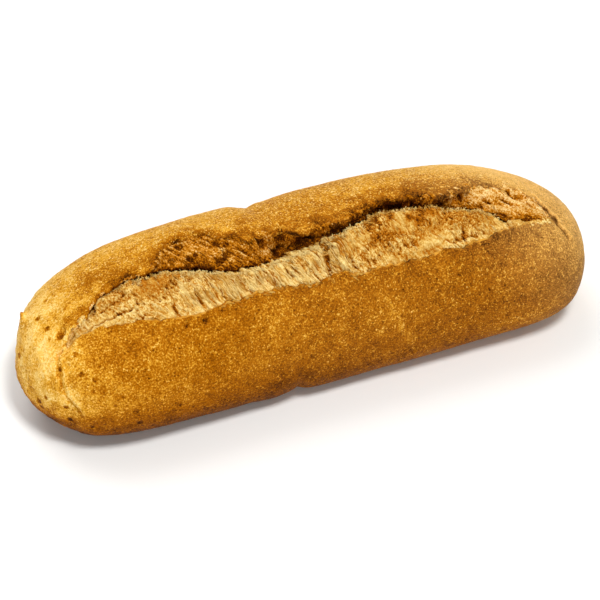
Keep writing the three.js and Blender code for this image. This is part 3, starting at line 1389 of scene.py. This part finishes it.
        # Painted shade toward the foot, most of all to the left
        foot = (baking_and_shade.foot_left - baking_and_shade.foot_right.at(x)) * baking_and_shade.foot.at(-z)
        patchy = (baking_and_shade.far_patch_left - baking_and_shade.far_patch_right.at(x)) * baking_and_shade.far_patches.at(points)
        # The far side is paler, partly a lighter bake and partly a painted sheen
        behind = baking_and_shade.behind.at(y) + baking_and_shade.behind_left.at(-x) * (1 - facing)
        baked = baking_and_shade.usual + sum(pattern.at(points) for pattern in baking_and_shade.blotches)
        baked += patchy * fade(far_away, baking_and_shade.far_patch_reach) - baking_and_shade.left_paler * left - behind
        baked -= baking_and_shade.right_paler.at(points @ np.array(baking_and_shade.right_way))
        baked -= baking_and_shade.puckers * self.puckers(points)
        baked += left * (baking_and_shade.end_spots.at(points) + baking_and_shade.end_foot.at(-z))
        baked += lips * (1 - left) + foot * (1 - baking_and_shade.foot_at_end * left)
        baked += baking_and_shade.facing_right.at(x) * facing
        baked += sum(blush.browning_at(points) for blush in self.blushes)
        # Painted shade: the crust right at the far lip and in the trough is darkened where the crevice lies
        # in shade
        scorched = form.along_slash(self.far_scorch_and_shade, x) * fade(far_away, baking_and_shade.scorch_reach)
        slash_shade_and_scorch = (scorched + baking_and_shade.inside * inside) * (1 - left)
        return np.clip(baked, *baking_and_shade.limits) + slash_shade_and_scorch + baking_and_shade.pits * self.burst(points)

    def marks(self, points: np.ndarray) -> dict[str, np.ndarray]:
        """Where the crust shows pits with painted shade, flour dust with a painted sheen, and blisters with
        painted glints.

        Args:
            points: The crust's points.

        Returns:
            Values by name for the crust's material.
        """
        x, y = points[..., 0], points[..., 1]
        return {
            "pitted": self.least_pitted + self.pitted.at(points @ np.array(self.pitted_way)),
            "dust_and_sheen": self.dust_and_sheen.at(points @ np.array(self.dust_and_sheen_way)) + self.dust_and_sheen_right.at(x),
            "blistered": self.least_blistered + self.blistered_far.at(y) + self.blistered_right.at(x),
        }

    def build(self) -> bpy.types.Object:
        """Builds and dresses the crust.

        Returns:
            The crust's object.
        """
        form, baking_and_shade = self.form, self.baking_and_shade
        x = form.stations(self.rings)
        inner, ends = x[1:-1], (x[0], x[-1])
        near, near_away, near_creased = self.side(inner, Lip.NEAR)
        far, far_away, far_creased = self.side(inner, Lip.FAR)
        trough = self.trough(SlashFrame(form, inner, 1.0))
        ring = np.concatenate([near, trough, far], axis=1)
        tips = np.array([[end, float(form.middle(np.array(end))), form.widest_level] for end in ends])
        rows = np.broadcast_to(tips[:, None, :], (2, ring.shape[1], 3))
        points = np.concatenate([rows[:1], ring, rows[1:]], axis=0)
        opened = form.openness(inner)[:, None]
        inside = np.zeros(points.shape[:2])
        lips = slice(self.side_points + 1, self.side_points + self.trough_points)
        column = np.arange(1, self.trough_points)
        buried = smoothstep(np.minimum(column, self.trough_points - column), 0, self.lip_points)
        inside[1:-1, lips] = opened * buried
        edges = [form.lip_angle(inner, lip, 1.0)[:, None] for lip in Lip]
        across = edges[0] + (edges[1] - edges[0]) * column / self.trough_points
        closed_creased = form.creased(inner[:, None], across) * (1 - opened)
        creased = np.zeros_like(inside)
        creased[1:-1] = np.concatenate([near_creased, closed_creased, far_creased], axis=1)
        away = np.full((2, *points.shape[:2]), self.far_off)
        divided = np.maximum(opened, self.least_open)
        away[0, 1:-1, :near.shape[1]] = near_away / divided
        away[1, 1:-1, -far.shape[1]:] = far_away / divided
        ragged = form.along_slash(self.ragged, points[..., 0]) * fade(away[1], self.shred_reach)
        shreds = ragged * self.tear.relief(points, np.ones(points.shape[:2]))
        height = self.relief(points, away[0], shreds) * (1 - inside)
        height[1:-1, lips] -= closed_creased
        points = points + grid_normals(points) * height[..., None]
        points[0], points[-1] = rows[0], rows[1]
        flattened = self.flattened.at(points[..., 2])
        points[..., 0] -= flattened * np.minimum(points[..., 0] + self.flat_from, 0)
        points[..., 2] = (points[..., 2] + np.hypot(points[..., 2], self.base_ease)) / 2
        points[..., 2] -= points[..., 2].min()
        bake_and_shade = self.baked(points, away[0], away[1], inside) - baking_and_shade.shreds_paler * shreds
        # Painted shade in the creases' grooves and painted highlight on their ridges, and browner flakes
        bake_and_shade += (baking_and_shade.creased + baking_and_shade.creased_right.at(points[..., 0])) * creased
        rim = np.zeros_like(inside)
        worn = self.rim_shows.at(sum(pattern.along(inner) for pattern in self.rim_worn))
        rim[1:-1, self.side_points:self.side_points + self.rim_points] = opened * worn[:, None]
        self.points = points
        values = {"bake_and_shade": bake_and_shade, "rim": rim, **self.marks(points)}
        return ring_mesh("crust", points, values, self.finish.material())


@dataclass
class Billow:
    """The crumb that rose out of the slash: from under the near lip over its crown and down the crevice."""

    form: RollForm
    finish: CrumbFinish
    grain: CrumbGrain
    rings: int = 790
    top_points: int = 108
    under_points: int = 12
    tuck: float = 2.0
    sunk_ends: float = 1.5
    jags: tuple[Pattern, ...] = (Pattern(0.7, 3.0, 31), Pattern(0.6, 1.0, 32))
    # Lines along the slash: how toasted the crown and the foot are, and how far the crumb is drawn out
    toast: tuple[float, ...] = (0.15, 0.2, 0.42, 0.36, 0.15, 0.25, 0.7, 0.72, 0.36, 0.3, 0.2)
    base: tuple[float, ...] = (0.18, 0.31, 0.31, 0.29, 0.21, 0.22, 0.38, 0.4, 0.38, 0.34, 0.3)
    strands: tuple[float, ...] = (0.0, 0.0, 0.15, 0.6, 1.0, 1.0, 0.5, 0.15, 0.1, 0.1, 0.1)
    # The toasted crown: where it lies on the way to the crevice, in which patches, and how proud of the rest
    crown_reach: Rise = Rise(1.0, 0.25, 0.65)
    crown_patches: tuple[Pattern, ...] = (Pattern(1.0, (9.0, 6.0, 6.0), 21), Pattern(0.5, 2.5, 22))
    crown_patchy: Rise = Rise(1.0, -0.35, 0.2)
    crown_least: float = 0.55
    crown_proud: Rise = Rise(0.45, -0.3, 0.7)
    # A pale fringe along the crevice, then painted shade down the crevice's edge and its depth, and the
    # paler right foot
    fringe: Rise = Rise(0.85, 0.82, 0.95)
    fringe_start: Rise = Rise(1.0, -52.0, -36.0)
    edge: Rise = Rise(0.25, 1.0, 1.15)
    deep_shade: Rise = Rise(0.35, 3.0, 7.0)
    foot: Rise = Rise(0.03, -0.4, -0.15)
    foot_start: Rise = Rise(1.0, 18.0, 34.0)
    # Painted shade and light: hollows are darker and crests paler, next to their close and their wide
    # surroundings
    close_steps: int = 24
    wide_steps: int = 150
    hollow: Rise = Rise(0.2, 0.05, 0.7)
    close_shade: float = 0.42
    wide_shade: float = 0.1
    least_drawn: float = 0.15
    least_grit: float = 0.85
    broken_grit: float = 0.9
    tears: tuple[Tear, ...] = (
        Tear(3.0, 1.0, 1.3, 2.4, 0.1, 1.0),
        Tear(6.4, -1.5, 1.2, -1.0, 0.15, 0.85),
        Tear(-37.5, -3.0, 0.7, 1.2, 0.05, 0.5),
        Tear(-34.5, -3.0, 0.6, 0.9, 0.05, 0.4),
        Tear(-45.3, -2.0, 0.7, 1.4, 0.05, 0.3),
        Tear(46.0, 2.0, 0.5, 1.4, 0.1, 0.45),
        Tear(-66.5, 0.0, 1.0, 1.4, 0.75, 1.1),
        Tear(60.5, -1.5, 0.6, 1.6, 0.35, 1.1),
    )
    cracks: tuple[Crack, ...] = (
        Crack(-75.0, -54.0, 0.24, 0.1, 0.035, 1.0, 71),
        Crack(-66.0, -56.0, 0.62, 0.1, 0.03, 0.6, 72),
        Crack(34.0, 56.0, 0.2, -0.06, 0.035, 0.45, 73),
    )
    points: np.ndarray = field(init=False)
    # How toasted each point is, with painted shade and light
    toasted: np.ndarray = field(init=False)

    def profile(self, slash: SlashFrame) -> tuple[np.ndarray, np.ndarray]:
        """Across and depth of the billow's ring, from the near lip to the crevice and back underneath.

        Args:
            slash: Where the slash lies at each station.

        Returns:
            Across and depth, each of shape (stations, points).
        """
        form, x, width = self.form, slash.x, slash.width
        jag = sum(pattern.along(x) for pattern in self.jags)
        place = form.along_slash(form.crevice_place, x) * width + jag
        depth = form.along_slash(form.crevice_depth, x)
        gap = form.along_slash(form.crevice_gap, x)
        step = form.along_slash(form.crumb_step, x)
        crown = form.along_slash(form.crumb_crown, x)
        floor = place + form.undercut * depth
        zero = np.zeros_like(x)
        # Controls in order: under the near lip, at it, two up the slope, the brink, and two down the crevice
        across = np.stack([
            zero - self.tuck, np.minimum(1.0, 0.1 * place), 0.45 * place, 0.86 * place - 0.3 * gap,
            place - 0.35 * gap, floor - 0.4 * gap, floor - 0.3 * gap,
        ], axis=-1)
        down = np.stack([
            step + 0.8, step, step + 0.6 * (crown - step), crown,
            crown + 0.3 * (depth - crown), 0.75 * depth, depth + 1.0,
        ], axis=-1)
        # Most of the points lie on the slope, which is what shows
        top = np.interp(np.linspace(0, 1, self.top_points + 1), (0, 0.1, 0.75, 1), (0, 1, 4, 6))
        under = np.linspace(1, 0, self.under_points + 1)[1:-1]
        back = -self.tuck + (across[:, -1:] + self.tuck) * under
        below = depth[:, None] + 1.0 + np.sin(under * math.pi)
        open_here = form.openness(x)[:, None]
        spread = np.concatenate([spline(across, top), back], axis=1)
        fall = np.concatenate([spline(down, top), below], axis=1)
        even = 0.5 * width[:, None] + 0 * spread
        return even + (spread - even) * open_here, fall * open_here + self.sunk_ends * (1 - open_here)

    def toast_and_shade(
        self, points: np.ndarray, reach: np.ndarray, down: np.ndarray, height: np.ndarray,
    ) -> np.ndarray:
        """How toasted the billow is, with painted shade in its hollows and down the crevice and painted
        light on its crests.

        Args:
            points: The billow's points.
            reach: Share of the way from the near lip to the crevice.
            down: Depth below the old dome.
            height: The crumb's relief.

        Returns:
            One value for each point, from 0 for fresh to 1 for scorched crumb and the deepest painted shade.
        """
        form, x = self.form, np.linspace(self.form.slash_start, self.form.slash_end, self.rings + 1)
        close = height - softened(height, self.close_steps)
        wide = height - softened(height, self.wide_steps)
        patches = sum(pattern.at(points) for pattern in self.crown_patches)
        crown = self.crown_reach.at(reach) * self.crown_patchy.at(patches)
        crown *= self.crown_least + self.crown_proud.at(wide)
        fringe = self.fringe.at(reach) * self.fringe_start.at(x)[:, None]
        toast = form.along_slash(self.base, x)[:, None]
        toast = toast - self.foot.at(-reach) * self.foot_start.at(x)[:, None]
        toast += form.along_slash(self.toast, x)[:, None] * crown * (1 - fringe)
        # Painted shade down the crevice and in hollows
        toast += self.edge.at(reach) + self.deep_shade.at(down) + self.hollow.at(-close)
        return np.clip(toast - self.close_shade * close - self.wide_shade * wide, 0, 1)

    def build(self) -> bpy.types.Object:
        """Builds and dresses the billow.

        Returns:
            The billow's object.
        """
        form = self.form
        x = np.linspace(form.slash_start, form.slash_end, self.rings + 1)
        slash = SlashFrame(form, x)
        across, down = self.profile(slash)
        points = slash.place(across, down)
        reach = across / (form.along_slash(form.crevice_place, x) * slash.width)[:, None]
        drawn = form.along_slash(self.strands, x)[:, None] + 0 * across
        height = self.grain.relief(points, drawn)
        height -= sum(split.depth_at(x[:, None], reach) for split in self.tears + self.cracks)
        height *= form.openness(x)[:, None]
        height[:, self.top_points + 1:] = 0
        points = points + grid_normals(points) * height[..., None]
        for end in (0, -1):
            points[end] = points[end].mean(axis=0)
        self.points, self.toasted = points, self.toast_and_shade(points, reach, down, height)
        grit = self.least_grit + self.broken_grit * self.grain.broken(points)
        values = {"toast": self.toasted, "drawn": self.least_drawn + drawn, "grit": grit}
        return ring_mesh("billow", points, values, self.finish.material())


@dataclass
class TornFace:
    """The crumb that tore away under the far lip: rough, striped and toasted brown."""

    form: RollForm
    finish: CrumbFinish
    grain: CrumbGrain
    rings: int = 790
    top_points: int = 84
    under_points: int = 10
    sunk_ends: float = 1.5
    lip_depth: float = 0.5
    sag: float = 3.0
    # Turn past the far lip in radians, and how far under the crust, for the edge that is tucked in
    tucked: tuple[tuple[float, float], ...] = ((0.0, 0.4), (0.07, 1.0), (0.14, 2.0))
    # Lines along the slash: how toasted and rugged the face is, and how far its crumb is drawn out
    toast: tuple[float, ...] = (
        0.12, 0.21, 0.3, 0.42, 0.54, 0.62, 0.59, 0.55, 0.56, 0.68, 0.8,
        0.75, 0.7, 0.82, 0.92, 0.8, 0.48, 0.42, 0.34, 0.32, 0.3,
    )
    rugged: tuple[float, ...] = (0.6, 0.6, 0.6, 0.6, 0.75, 1.0, 1.0, 1.0, 0.9, 0.85, 0.8)
    strands: tuple[float, ...] = (0.5, 0.5, 0.6, 0.85, 1.0, 0.8, 0.6, 0.5, 0.55, 0.5, 0.4)
    # How far the face is hollowed out under the lip, as a share of the crevice's depth
    hollowed: tuple[float, ...] = (
        0.25, 0.25, 0.25, 0.23, 0.22, 0.2, 0.18, 0.3, 0.55, 0.9, 0.9,
        0.65, 0.55, 0.8, 0.95, 0.85, 0.65, 0.3, 0.2, 0.2, 0.2,
    )
    # Where its relief begins along the roll, and where it ends under the crust, by place among the controls
    rugged_start: Rise = Rise(1.0, -76.0, -62.0)
    covered: Rise = Rise(1.0, 4.3, 5.4)
    # The foot of the face, darkened as painted shade at the bottom of the crevice: how far up it reaches,
    # and where it begins along the roll
    shaded_foot_end: Rise = Rise(1.0, 1.4, 2.9)
    foot_start: Rise = Rise(0.5, -70.0, -60.0)
    patches: Pattern = Pattern(0.25, (6.0, 4.0, 4.0), 61)
    # Painted shade in hollows and burst holes, and painted light on crests
    close_steps: int = 24
    hollow: Rise = Rise(0.28, 0.0, 0.7)
    close_shade: float = 0.28
    burst_shade: float = 0.22
    grit: float = 1.7
    holes: tuple[Pit, ...] = (
        Pit(-36.9, 3.1, 1.2, 1.5),
        Pit(-35.2, -1.8, 1.0, 1.0),
        Pit(-33.4, -1.2, 0.9, 0.9),
        Pit(-27.4, -5.3, 1.0, 1.1),
        Pit(-24.8, -4.2, 1.1, 1.2),
        Pit(-23.9, -1.2, 0.9, 1.0),
        Pit(-8.0, -3.8, 1.7, 1.1),
        Pit(-1.0, -4.8, 2.6, 2.0),
        Pit(30.3, -0.3, 2.0, 2.2),
        Pit(36.2, -1.2, 1.6, 1.8),
        Pit(49.9, -3.2, 0.8, 1.5),
        Pit(65.8, -3.8, 0.8, 1.2),
    )
    points: np.ndarray = field(init=False)
    # How toasted each point is, with painted shade and light
    toasted: np.ndarray = field(init=False)

    def profile(self, slash: SlashFrame) -> tuple[np.ndarray, np.ndarray]:
        """The face's rings, from the crevice up to the far lip, under the crust and back underneath.

        Args:
            slash: Where the slash lies at each station.

        Returns:
            Points of shape (stations, points, 3), and the place among the controls of each point that shows.
        """
        form, x, width = self.form, slash.x, slash.width
        place = form.along_slash(form.crevice_place, x) * width
        depth = form.along_slash(form.crevice_depth, x)
        gap = form.along_slash(form.crevice_gap, x)
        floor = place + form.undercut * depth
        foot = place + 0.5 * gap
        # Controls in order: two down in the crevice, two up the face, and then those tucked under the lip
        across = np.stack([
            floor + 0.2 * gap, floor + 0.5 * gap, foot + 0.1 * (width - foot), foot + 0.55 * (width - foot),
        ], axis=-1)
        hollow = form.along_slash(self.hollowed, x)
        face = hollow * depth + self.lip_depth
        down = np.stack([depth + 1.0, 0.9 * depth, (0.4 + 0.5 * hollow) * depth, face], axis=-1)
        controls = [slash.place(across, down)]
        edge = form.lip_angle(x, Lip.FAR, 0.0)
        for turn, sink in self.tucked:
            yz = form.crust(x, edge + turn, form.lip_rise(x, edge + turn, Lip.FAR, 0.0) - sink)
            controls.append(np.column_stack([x, yz])[:, None, :])
        controls = np.moveaxis(np.concatenate(controls, axis=1), 1, -1)
        places = np.linspace(0, controls.shape[-1] - 1, self.top_points + 1)
        top = np.moveaxis(spline(controls, places), -1, 1)
        share = np.linspace(0, 1, self.under_points + 1)[1:-1, None]
        under = top[:, -1:] + (top[:, :1] - top[:, -1:]) * share
        under[..., 2] -= self.sag * np.sin(share[:, 0] * math.pi)
        heart = slash.place(0.5 * width[:, None], np.full((len(x), 1), self.sunk_ends))
        ring = np.concatenate([top, under], axis=1)
        return heart + (ring - heart) * form.openness(x)[:, None, None], places

    def build(self) -> bpy.types.Object:
        """Builds and dresses the torn face.

        Returns:
            The torn face's object.
        """
        form = self.form
        x = np.linspace(form.slash_start, form.slash_end, self.rings + 1)
        points, places = self.profile(SlashFrame(form, x))
        bare, foot = np.zeros((2, points.shape[1]))
        bare[:len(places)] = 1 - self.covered.at(places)
        foot[:len(places)] = 1 - self.shaded_foot_end.at(places)
        drawn = form.along_slash(self.strands, x)[:, None] + 0 * points[..., 0]
        rugged = form.along_slash(self.rugged, x) * form.openness(x) * self.rugged_start.at(x)
        height = self.grain.relief(points, drawn) * rugged[:, None] * bare
        burst = bare * sum(hole.depth_at(points) for hole in self.holes)
        height -= burst
        points = points + grid_normals(points) * height[..., None]
        for end in (0, -1):
            points[end] = points[end].mean(axis=0)
        # Painted shade in hollows, holes and at the foot, and painted light on crests
        close = height - softened(height, self.close_steps)
        toast = form.along_slash(self.toast, x)[:, None] + self.patches.at(points)
        toast += self.hollow.at(-close) - self.close_shade * close
        toast += foot * self.foot_start.at(x)[:, None] + self.burst_shade * burst
        self.points, self.toasted = points, np.clip(toast, 0, 1)
        values = {"toast": self.toasted, "drawn": drawn, "grit": np.full_like(drawn, self.grit)}
        return ring_mesh("torn_face", points, values, self.finish.material())


@dataclass(frozen=True)
class StrandBed:
    """Where loose strands lie: a grid of points, the spread of rows and columns, and the strands' sizes."""

    points: np.ndarray
    # The bed's toast, painted shade and light included where the bed has them
    toasted: np.ndarray
    count: int
    stations: tuple[float, float]
    columns: tuple[int, int]
    length: tuple[float, float]
    lift: tuple[float, float]
    lean: float = 0.0
    drift: float = 0.4
    radius: tuple[float, float] = (0.08, 0.17)
    flatness: float = 1.0
    along: bool = False
    free_tip: bool = False
    paler: float = 0.05


@dataclass
class Strands:
    """Loose fibres of torn crumb that lie across the tear, spikes that stand off it, flakes on its edge."""

    finish: CrumbFinish
    beds: tuple[StrandBed, ...]
    seed: int = 7
    sides: int = 5
    rings: int = 7
    taper: float = 0.6
    # A strand's sideways wave as a share of its drift, how its arch leans, and how its toast varies
    wave: float = 0.25
    arch: tuple[float, float] = (0.6, 1.6)
    toast_spread: float = 0.1
    least_pitch: float = 0.05

    def path(
        self, bed: StrandBed, normals: np.ndarray, draw: np.random.Generator,
    ) -> tuple[np.ndarray, np.ndarray, float]:
        """Draws one strand's middle line on a bed.

        Args:
            bed: The crumb or crust that it lies on.
            normals: Outward normals of the bed.
            draw: The source of random values.

        Returns:
            Points of shape (rings + 1, 3), the bed's normals there, and how toasted the strand is.
        """
        rows, sides = bed.points.shape[:2]
        row = np.searchsorted(bed.points[:, bed.columns[0], 0], draw.uniform(*bed.stations))
        column = draw.integers(*bed.columns)
        t = np.linspace(0, 1, self.rings + 1)
        run = draw.uniform(*bed.length) * t
        stray = draw.normal(0, bed.drift) * t
        stray = stray + draw.normal(0, self.wave * bed.drift) * np.sin(2 * math.pi * t) - bed.lean * run
        ahead, aside = (run, stray) if bed.along else (stray, run)
        here = bed.points[row, column]
        pitch = [
            np.linalg.norm(bed.points[row + i, column + j] - here) + self.least_pitch
            for i, j in ((1, 0), (0, 1))
        ]
        i = np.clip(np.rint(row + ahead / pitch[0]), 1, rows - 2).astype(int)
        j = np.clip(np.rint(column + aside / pitch[1]), 0, sides - 1).astype(int)
        rise = t if bed.free_tip else np.sin(math.pi * t ** draw.uniform(*self.arch))
        lift = draw.uniform(*bed.lift) * rise
        toast = bed.toasted[i[0], j[0]] + draw.normal(-bed.paler, self.toast_spread)
        return bed.points[i, j] + normals[i, j] * lift[:, None], normals[i, j], float(np.clip(toast, 0, 1))

    def build(self) -> bpy.types.Object:
        """Builds and dresses the strands.

        Returns:
            The strands' object.
        """
        draw = np.random.default_rng(self.seed)
        pattern, model = bmesh.new(), bmesh.new()
        bmesh.ops.create_uvsphere(pattern, u_segments=self.sides, v_segments=self.rings, radius=1.0)
        ring, turn = sphere_places(pattern, self.rings)
        turn = turn[:, None]
        taper = np.sin(np.linspace(0, math.pi, self.rings + 1)) ** self.taper
        single = bpy.data.meshes.new("single_strand")
        toast = []
        for bed in self.beds:
            normals = grid_normals(bed.points)
            for _ in range(bed.count):
                path, up, brown = self.path(bed, normals, draw)
                along = np.gradient(path, axis=0)
                along /= np.maximum(np.linalg.norm(along, axis=1, keepdims=True), TINY)
                wide = np.cross(along, up)
                wide /= np.maximum(np.linalg.norm(wide, axis=1, keepdims=True), TINY)
                thin = bed.flatness * np.cross(wide, along)
                thick = draw.uniform(*bed.radius) * taper
                offset = thick[ring, None] * (np.cos(turn) * wide[ring] + np.sin(turn) * thin[ring])
                for vertex, point in zip(pattern.verts, path[ring] + offset):
                    vertex.co = point
                pattern.to_mesh(single)
                model.from_mesh(single)
                toast += [brown] * len(ring)
        pattern.free()
        bpy.data.meshes.remove(single)
        return write_piece("strands", model, {"toast": np.array(toast)}, self.finish.material())


@dataclass(frozen=True)
class Lamp:
    """A square soft light that faces the roll: its place and side in millimetres, and its power in watts."""

    name: str
    place: tuple[float, float, float]
    side: float
    power: float

    def hang(self) -> None:
        """Hangs the lamp in the scene."""
        lamp = bpy.data.lights.new(self.name, "AREA")
        lamp.size = self.side * MM
        lamp.energy = self.power
        holder = bpy.data.objects.new(self.name, lamp)
        holder.location = Vector(self.place) * MM
        holder.rotation_euler = Vector(self.place).to_track_quat("Z", "Y").to_euler()
        bpy.context.scene.collection.objects.link(holder)


@dataclass(frozen=True)
class Studio:
    """A plain pale floor, soft lights, and the camera at the photograph's viewing angle."""

    azimuth: float = -21.1
    elevation: float = 43.1
    distance: float = 600.0
    pixels_per_mm: float = 3.313
    image: float = 600.0
    centre_pixel: tuple[float, float] = (300.5, 279.0)
    sensor: float = 36.0
    floor_half: float = 1500.0
    floor_colour: str = "#f4f4f2"
    floor_roughness: float = 0.9
    floor_specular: float = 0.1
    ambience: float = 0.28
    lamps: tuple[Lamp, ...] = (
        Lamp("key", (60.0, -420.0, 980.0), 220.0, 7.8),
        Lamp("softbox_back", (-150.0, 500.0, 900.0), 700.0, 5.0),
        Lamp("fill_front", (-500.0, -1000.0, 500.0), 700.0, 3.2),
    )

    def back(self) -> Vector:
        """The way from the roll to the camera."""
        a, e = math.radians(self.azimuth), math.radians(self.elevation)
        return Vector((math.sin(a) * math.cos(e), -math.cos(a) * math.cos(e), math.sin(e)))

    def camera(self, middle: Vector) -> None:
        """Places the camera so that the roll's middle lands on its pixel.

        Args:
            middle: The roll's middle in millimetres.
        """
        back = self.back()
        right = Vector((0, 0, 1)).cross(back).normalized()
        up = back.cross(right)
        aside = (self.image / 2 - self.centre_pixel[0]) / self.pixels_per_mm
        above = (self.centre_pixel[1] - self.image / 2) / self.pixels_per_mm
        aim = middle + right * aside + up * above
        lens = bpy.data.cameras.new("camera")
        lens.sensor_width = self.sensor
        lens.lens = self.sensor * self.pixels_per_mm * self.distance / self.image
        camera = bpy.data.objects.new("camera", lens)
        camera.location = (aim + back * self.distance) * MM
        camera.rotation_euler = back.to_track_quat("Z", "Y").to_euler()
        bpy.context.scene.collection.objects.link(camera)
        bpy.context.scene.camera = camera

    def floor(self) -> bpy.types.Object:
        """Lays the pale floor.

        Returns:
            The floor's object.
        """
        model = bmesh.new()
        bmesh.ops.create_grid(model, x_segments=1, y_segments=1, size=self.floor_half * MM)
        mesh = bpy.data.meshes.new("floor")
        model.to_mesh(mesh)
        model.free()
        # Matt pale paper, so that the roll's soft shadow is all that shows on it
        material = bpy.data.materials.new("pale_paper")
        material.use_nodes = True
        shader = material.node_tree.nodes["Principled BSDF"]
        shader.inputs["Base Color"].default_value = linear(self.floor_colour)
        shader.inputs["Roughness"].default_value = self.floor_roughness
        shader.inputs["Specular IOR Level"].default_value = self.floor_specular
        mesh.materials.append(material)
        floor = bpy.data.objects.new("floor", mesh)
        bpy.context.scene.collection.objects.link(floor)
        return floor

    def build(self, middle: Vector) -> bpy.types.Object:
        """Sets up the whole studio.

        Args:
            middle: The roll's middle in millimetres.

        Returns:
            The floor's object.
        """
        self.camera(middle)
        for lamp in self.lamps:
            lamp.hang()
        world = bpy.data.worlds.new("studio")
        world.use_nodes = True
        world.node_tree.nodes["Background"].inputs["Color"].default_value = (1, 1, 1, 1)
        world.node_tree.nodes["Background"].inputs["Strength"].default_value = self.ambience
        bpy.context.scene.world = world
        bpy.context.scene.view_settings.view_transform = "Standard"
        return self.floor()


def strand_beds(crust: Crust, billow: Billow, torn_face: TornFace) -> tuple[StrandBed, ...]:
    """Chooses where loose strands lie.

    Args:
        crust: The crust, already built.
        billow: The billow, already built.
        torn_face: The torn face, already built.

    Returns:
        Long and short fibres on the billow, fibres on the torn face, spikes on the crevice's brink, and
        flakes along the near lip.
    """
    golden = np.full(crust.points.shape[:2], FLAKE_TOAST)
    lip = crust.side_points
    return (
        StrandBed(
            billow.points, billow.toasted, count=600, stations=(-42.0, 10.0), columns=(8, 70),
            length=(2.5, 7.0), lift=(-0.05, 0.35), lean=0.45,
        ),
        StrandBed(
            billow.points, billow.toasted, count=500, stations=(-70.0, 62.0), columns=(8, 70),
            length=(1.0, 3.0), lift=(-0.05, 0.3), lean=0.45,
        ),
        StrandBed(
            torn_face.points, torn_face.toasted, count=120, stations=(-50.0, 72.0), columns=(24, 54),
            length=(1.2, 3.5), lift=(0.0, 0.4), lean=1.0, paler=-0.25,
        ),
        StrandBed(
            billow.points, billow.toasted, count=700, stations=(-55.0, 58.0), columns=(58, 78),
            length=(0.2, 0.7), lift=(0.4, 1.3), free_tip=True, paler=0.3,
        ),
        StrandBed(
            crust.points, golden, count=60, stations=(-33.0, 9.0), columns=(lip - 2, lip + 4),
            length=(1.5, 4.0), lift=(0.0, 0.3), radius=(0.3, 0.6), flatness=0.4, along=True,
        ),
    )


def main() -> None:
    """Builds the roll and its studio, piece by piece."""
    logging.basicConfig(level=logging.INFO, format="%(message)s")
    form = RollForm()
    fresh = CrumbFinish(name="torn_wholemeal_crumb", lean=0.45)
    toasted = CrumbFinish(name="toasted_wholemeal_crumb", lean=1.0, shades=(
        (0.0, "#f2cd8a"), (0.25, "#d9ab60"), (0.45, "#c88420"), (0.68, "#a65f02"), (1.0, "#4e2402"),
    ))
    soft_tear = CrumbGrain(seed=10, lean=0.45)
    hard_tear = CrumbGrain(
        seed=50, lean=1.0, swell=1.0, crag=1.4, bundle=1.5, gap=2.2, hole=1.6, lump=0.8, coarse=1.4,
    )
    crust = Crust(form, CrustFinish(), hard_tear)
    billow, torn_face = Billow(form, fresh, soft_tear), TornFace(form, toasted, hard_tear)
    pieces = [crust.build(), billow.build(), torn_face.build()]
    pieces.append(Strands(fresh, strand_beds(crust, billow, torn_face)).build())
    for piece in pieces:
        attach(piece, BODY)
        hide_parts(NODE)
        LOG.info("%s: %d faces", piece.name, len(piece.data.polygons))
    floor = Studio().build(Vector((0.0, form.bow_centre, form.height / 2)))
    LOG.info("%s laid", floor.name)


if __name__ == "__main__":
    main()
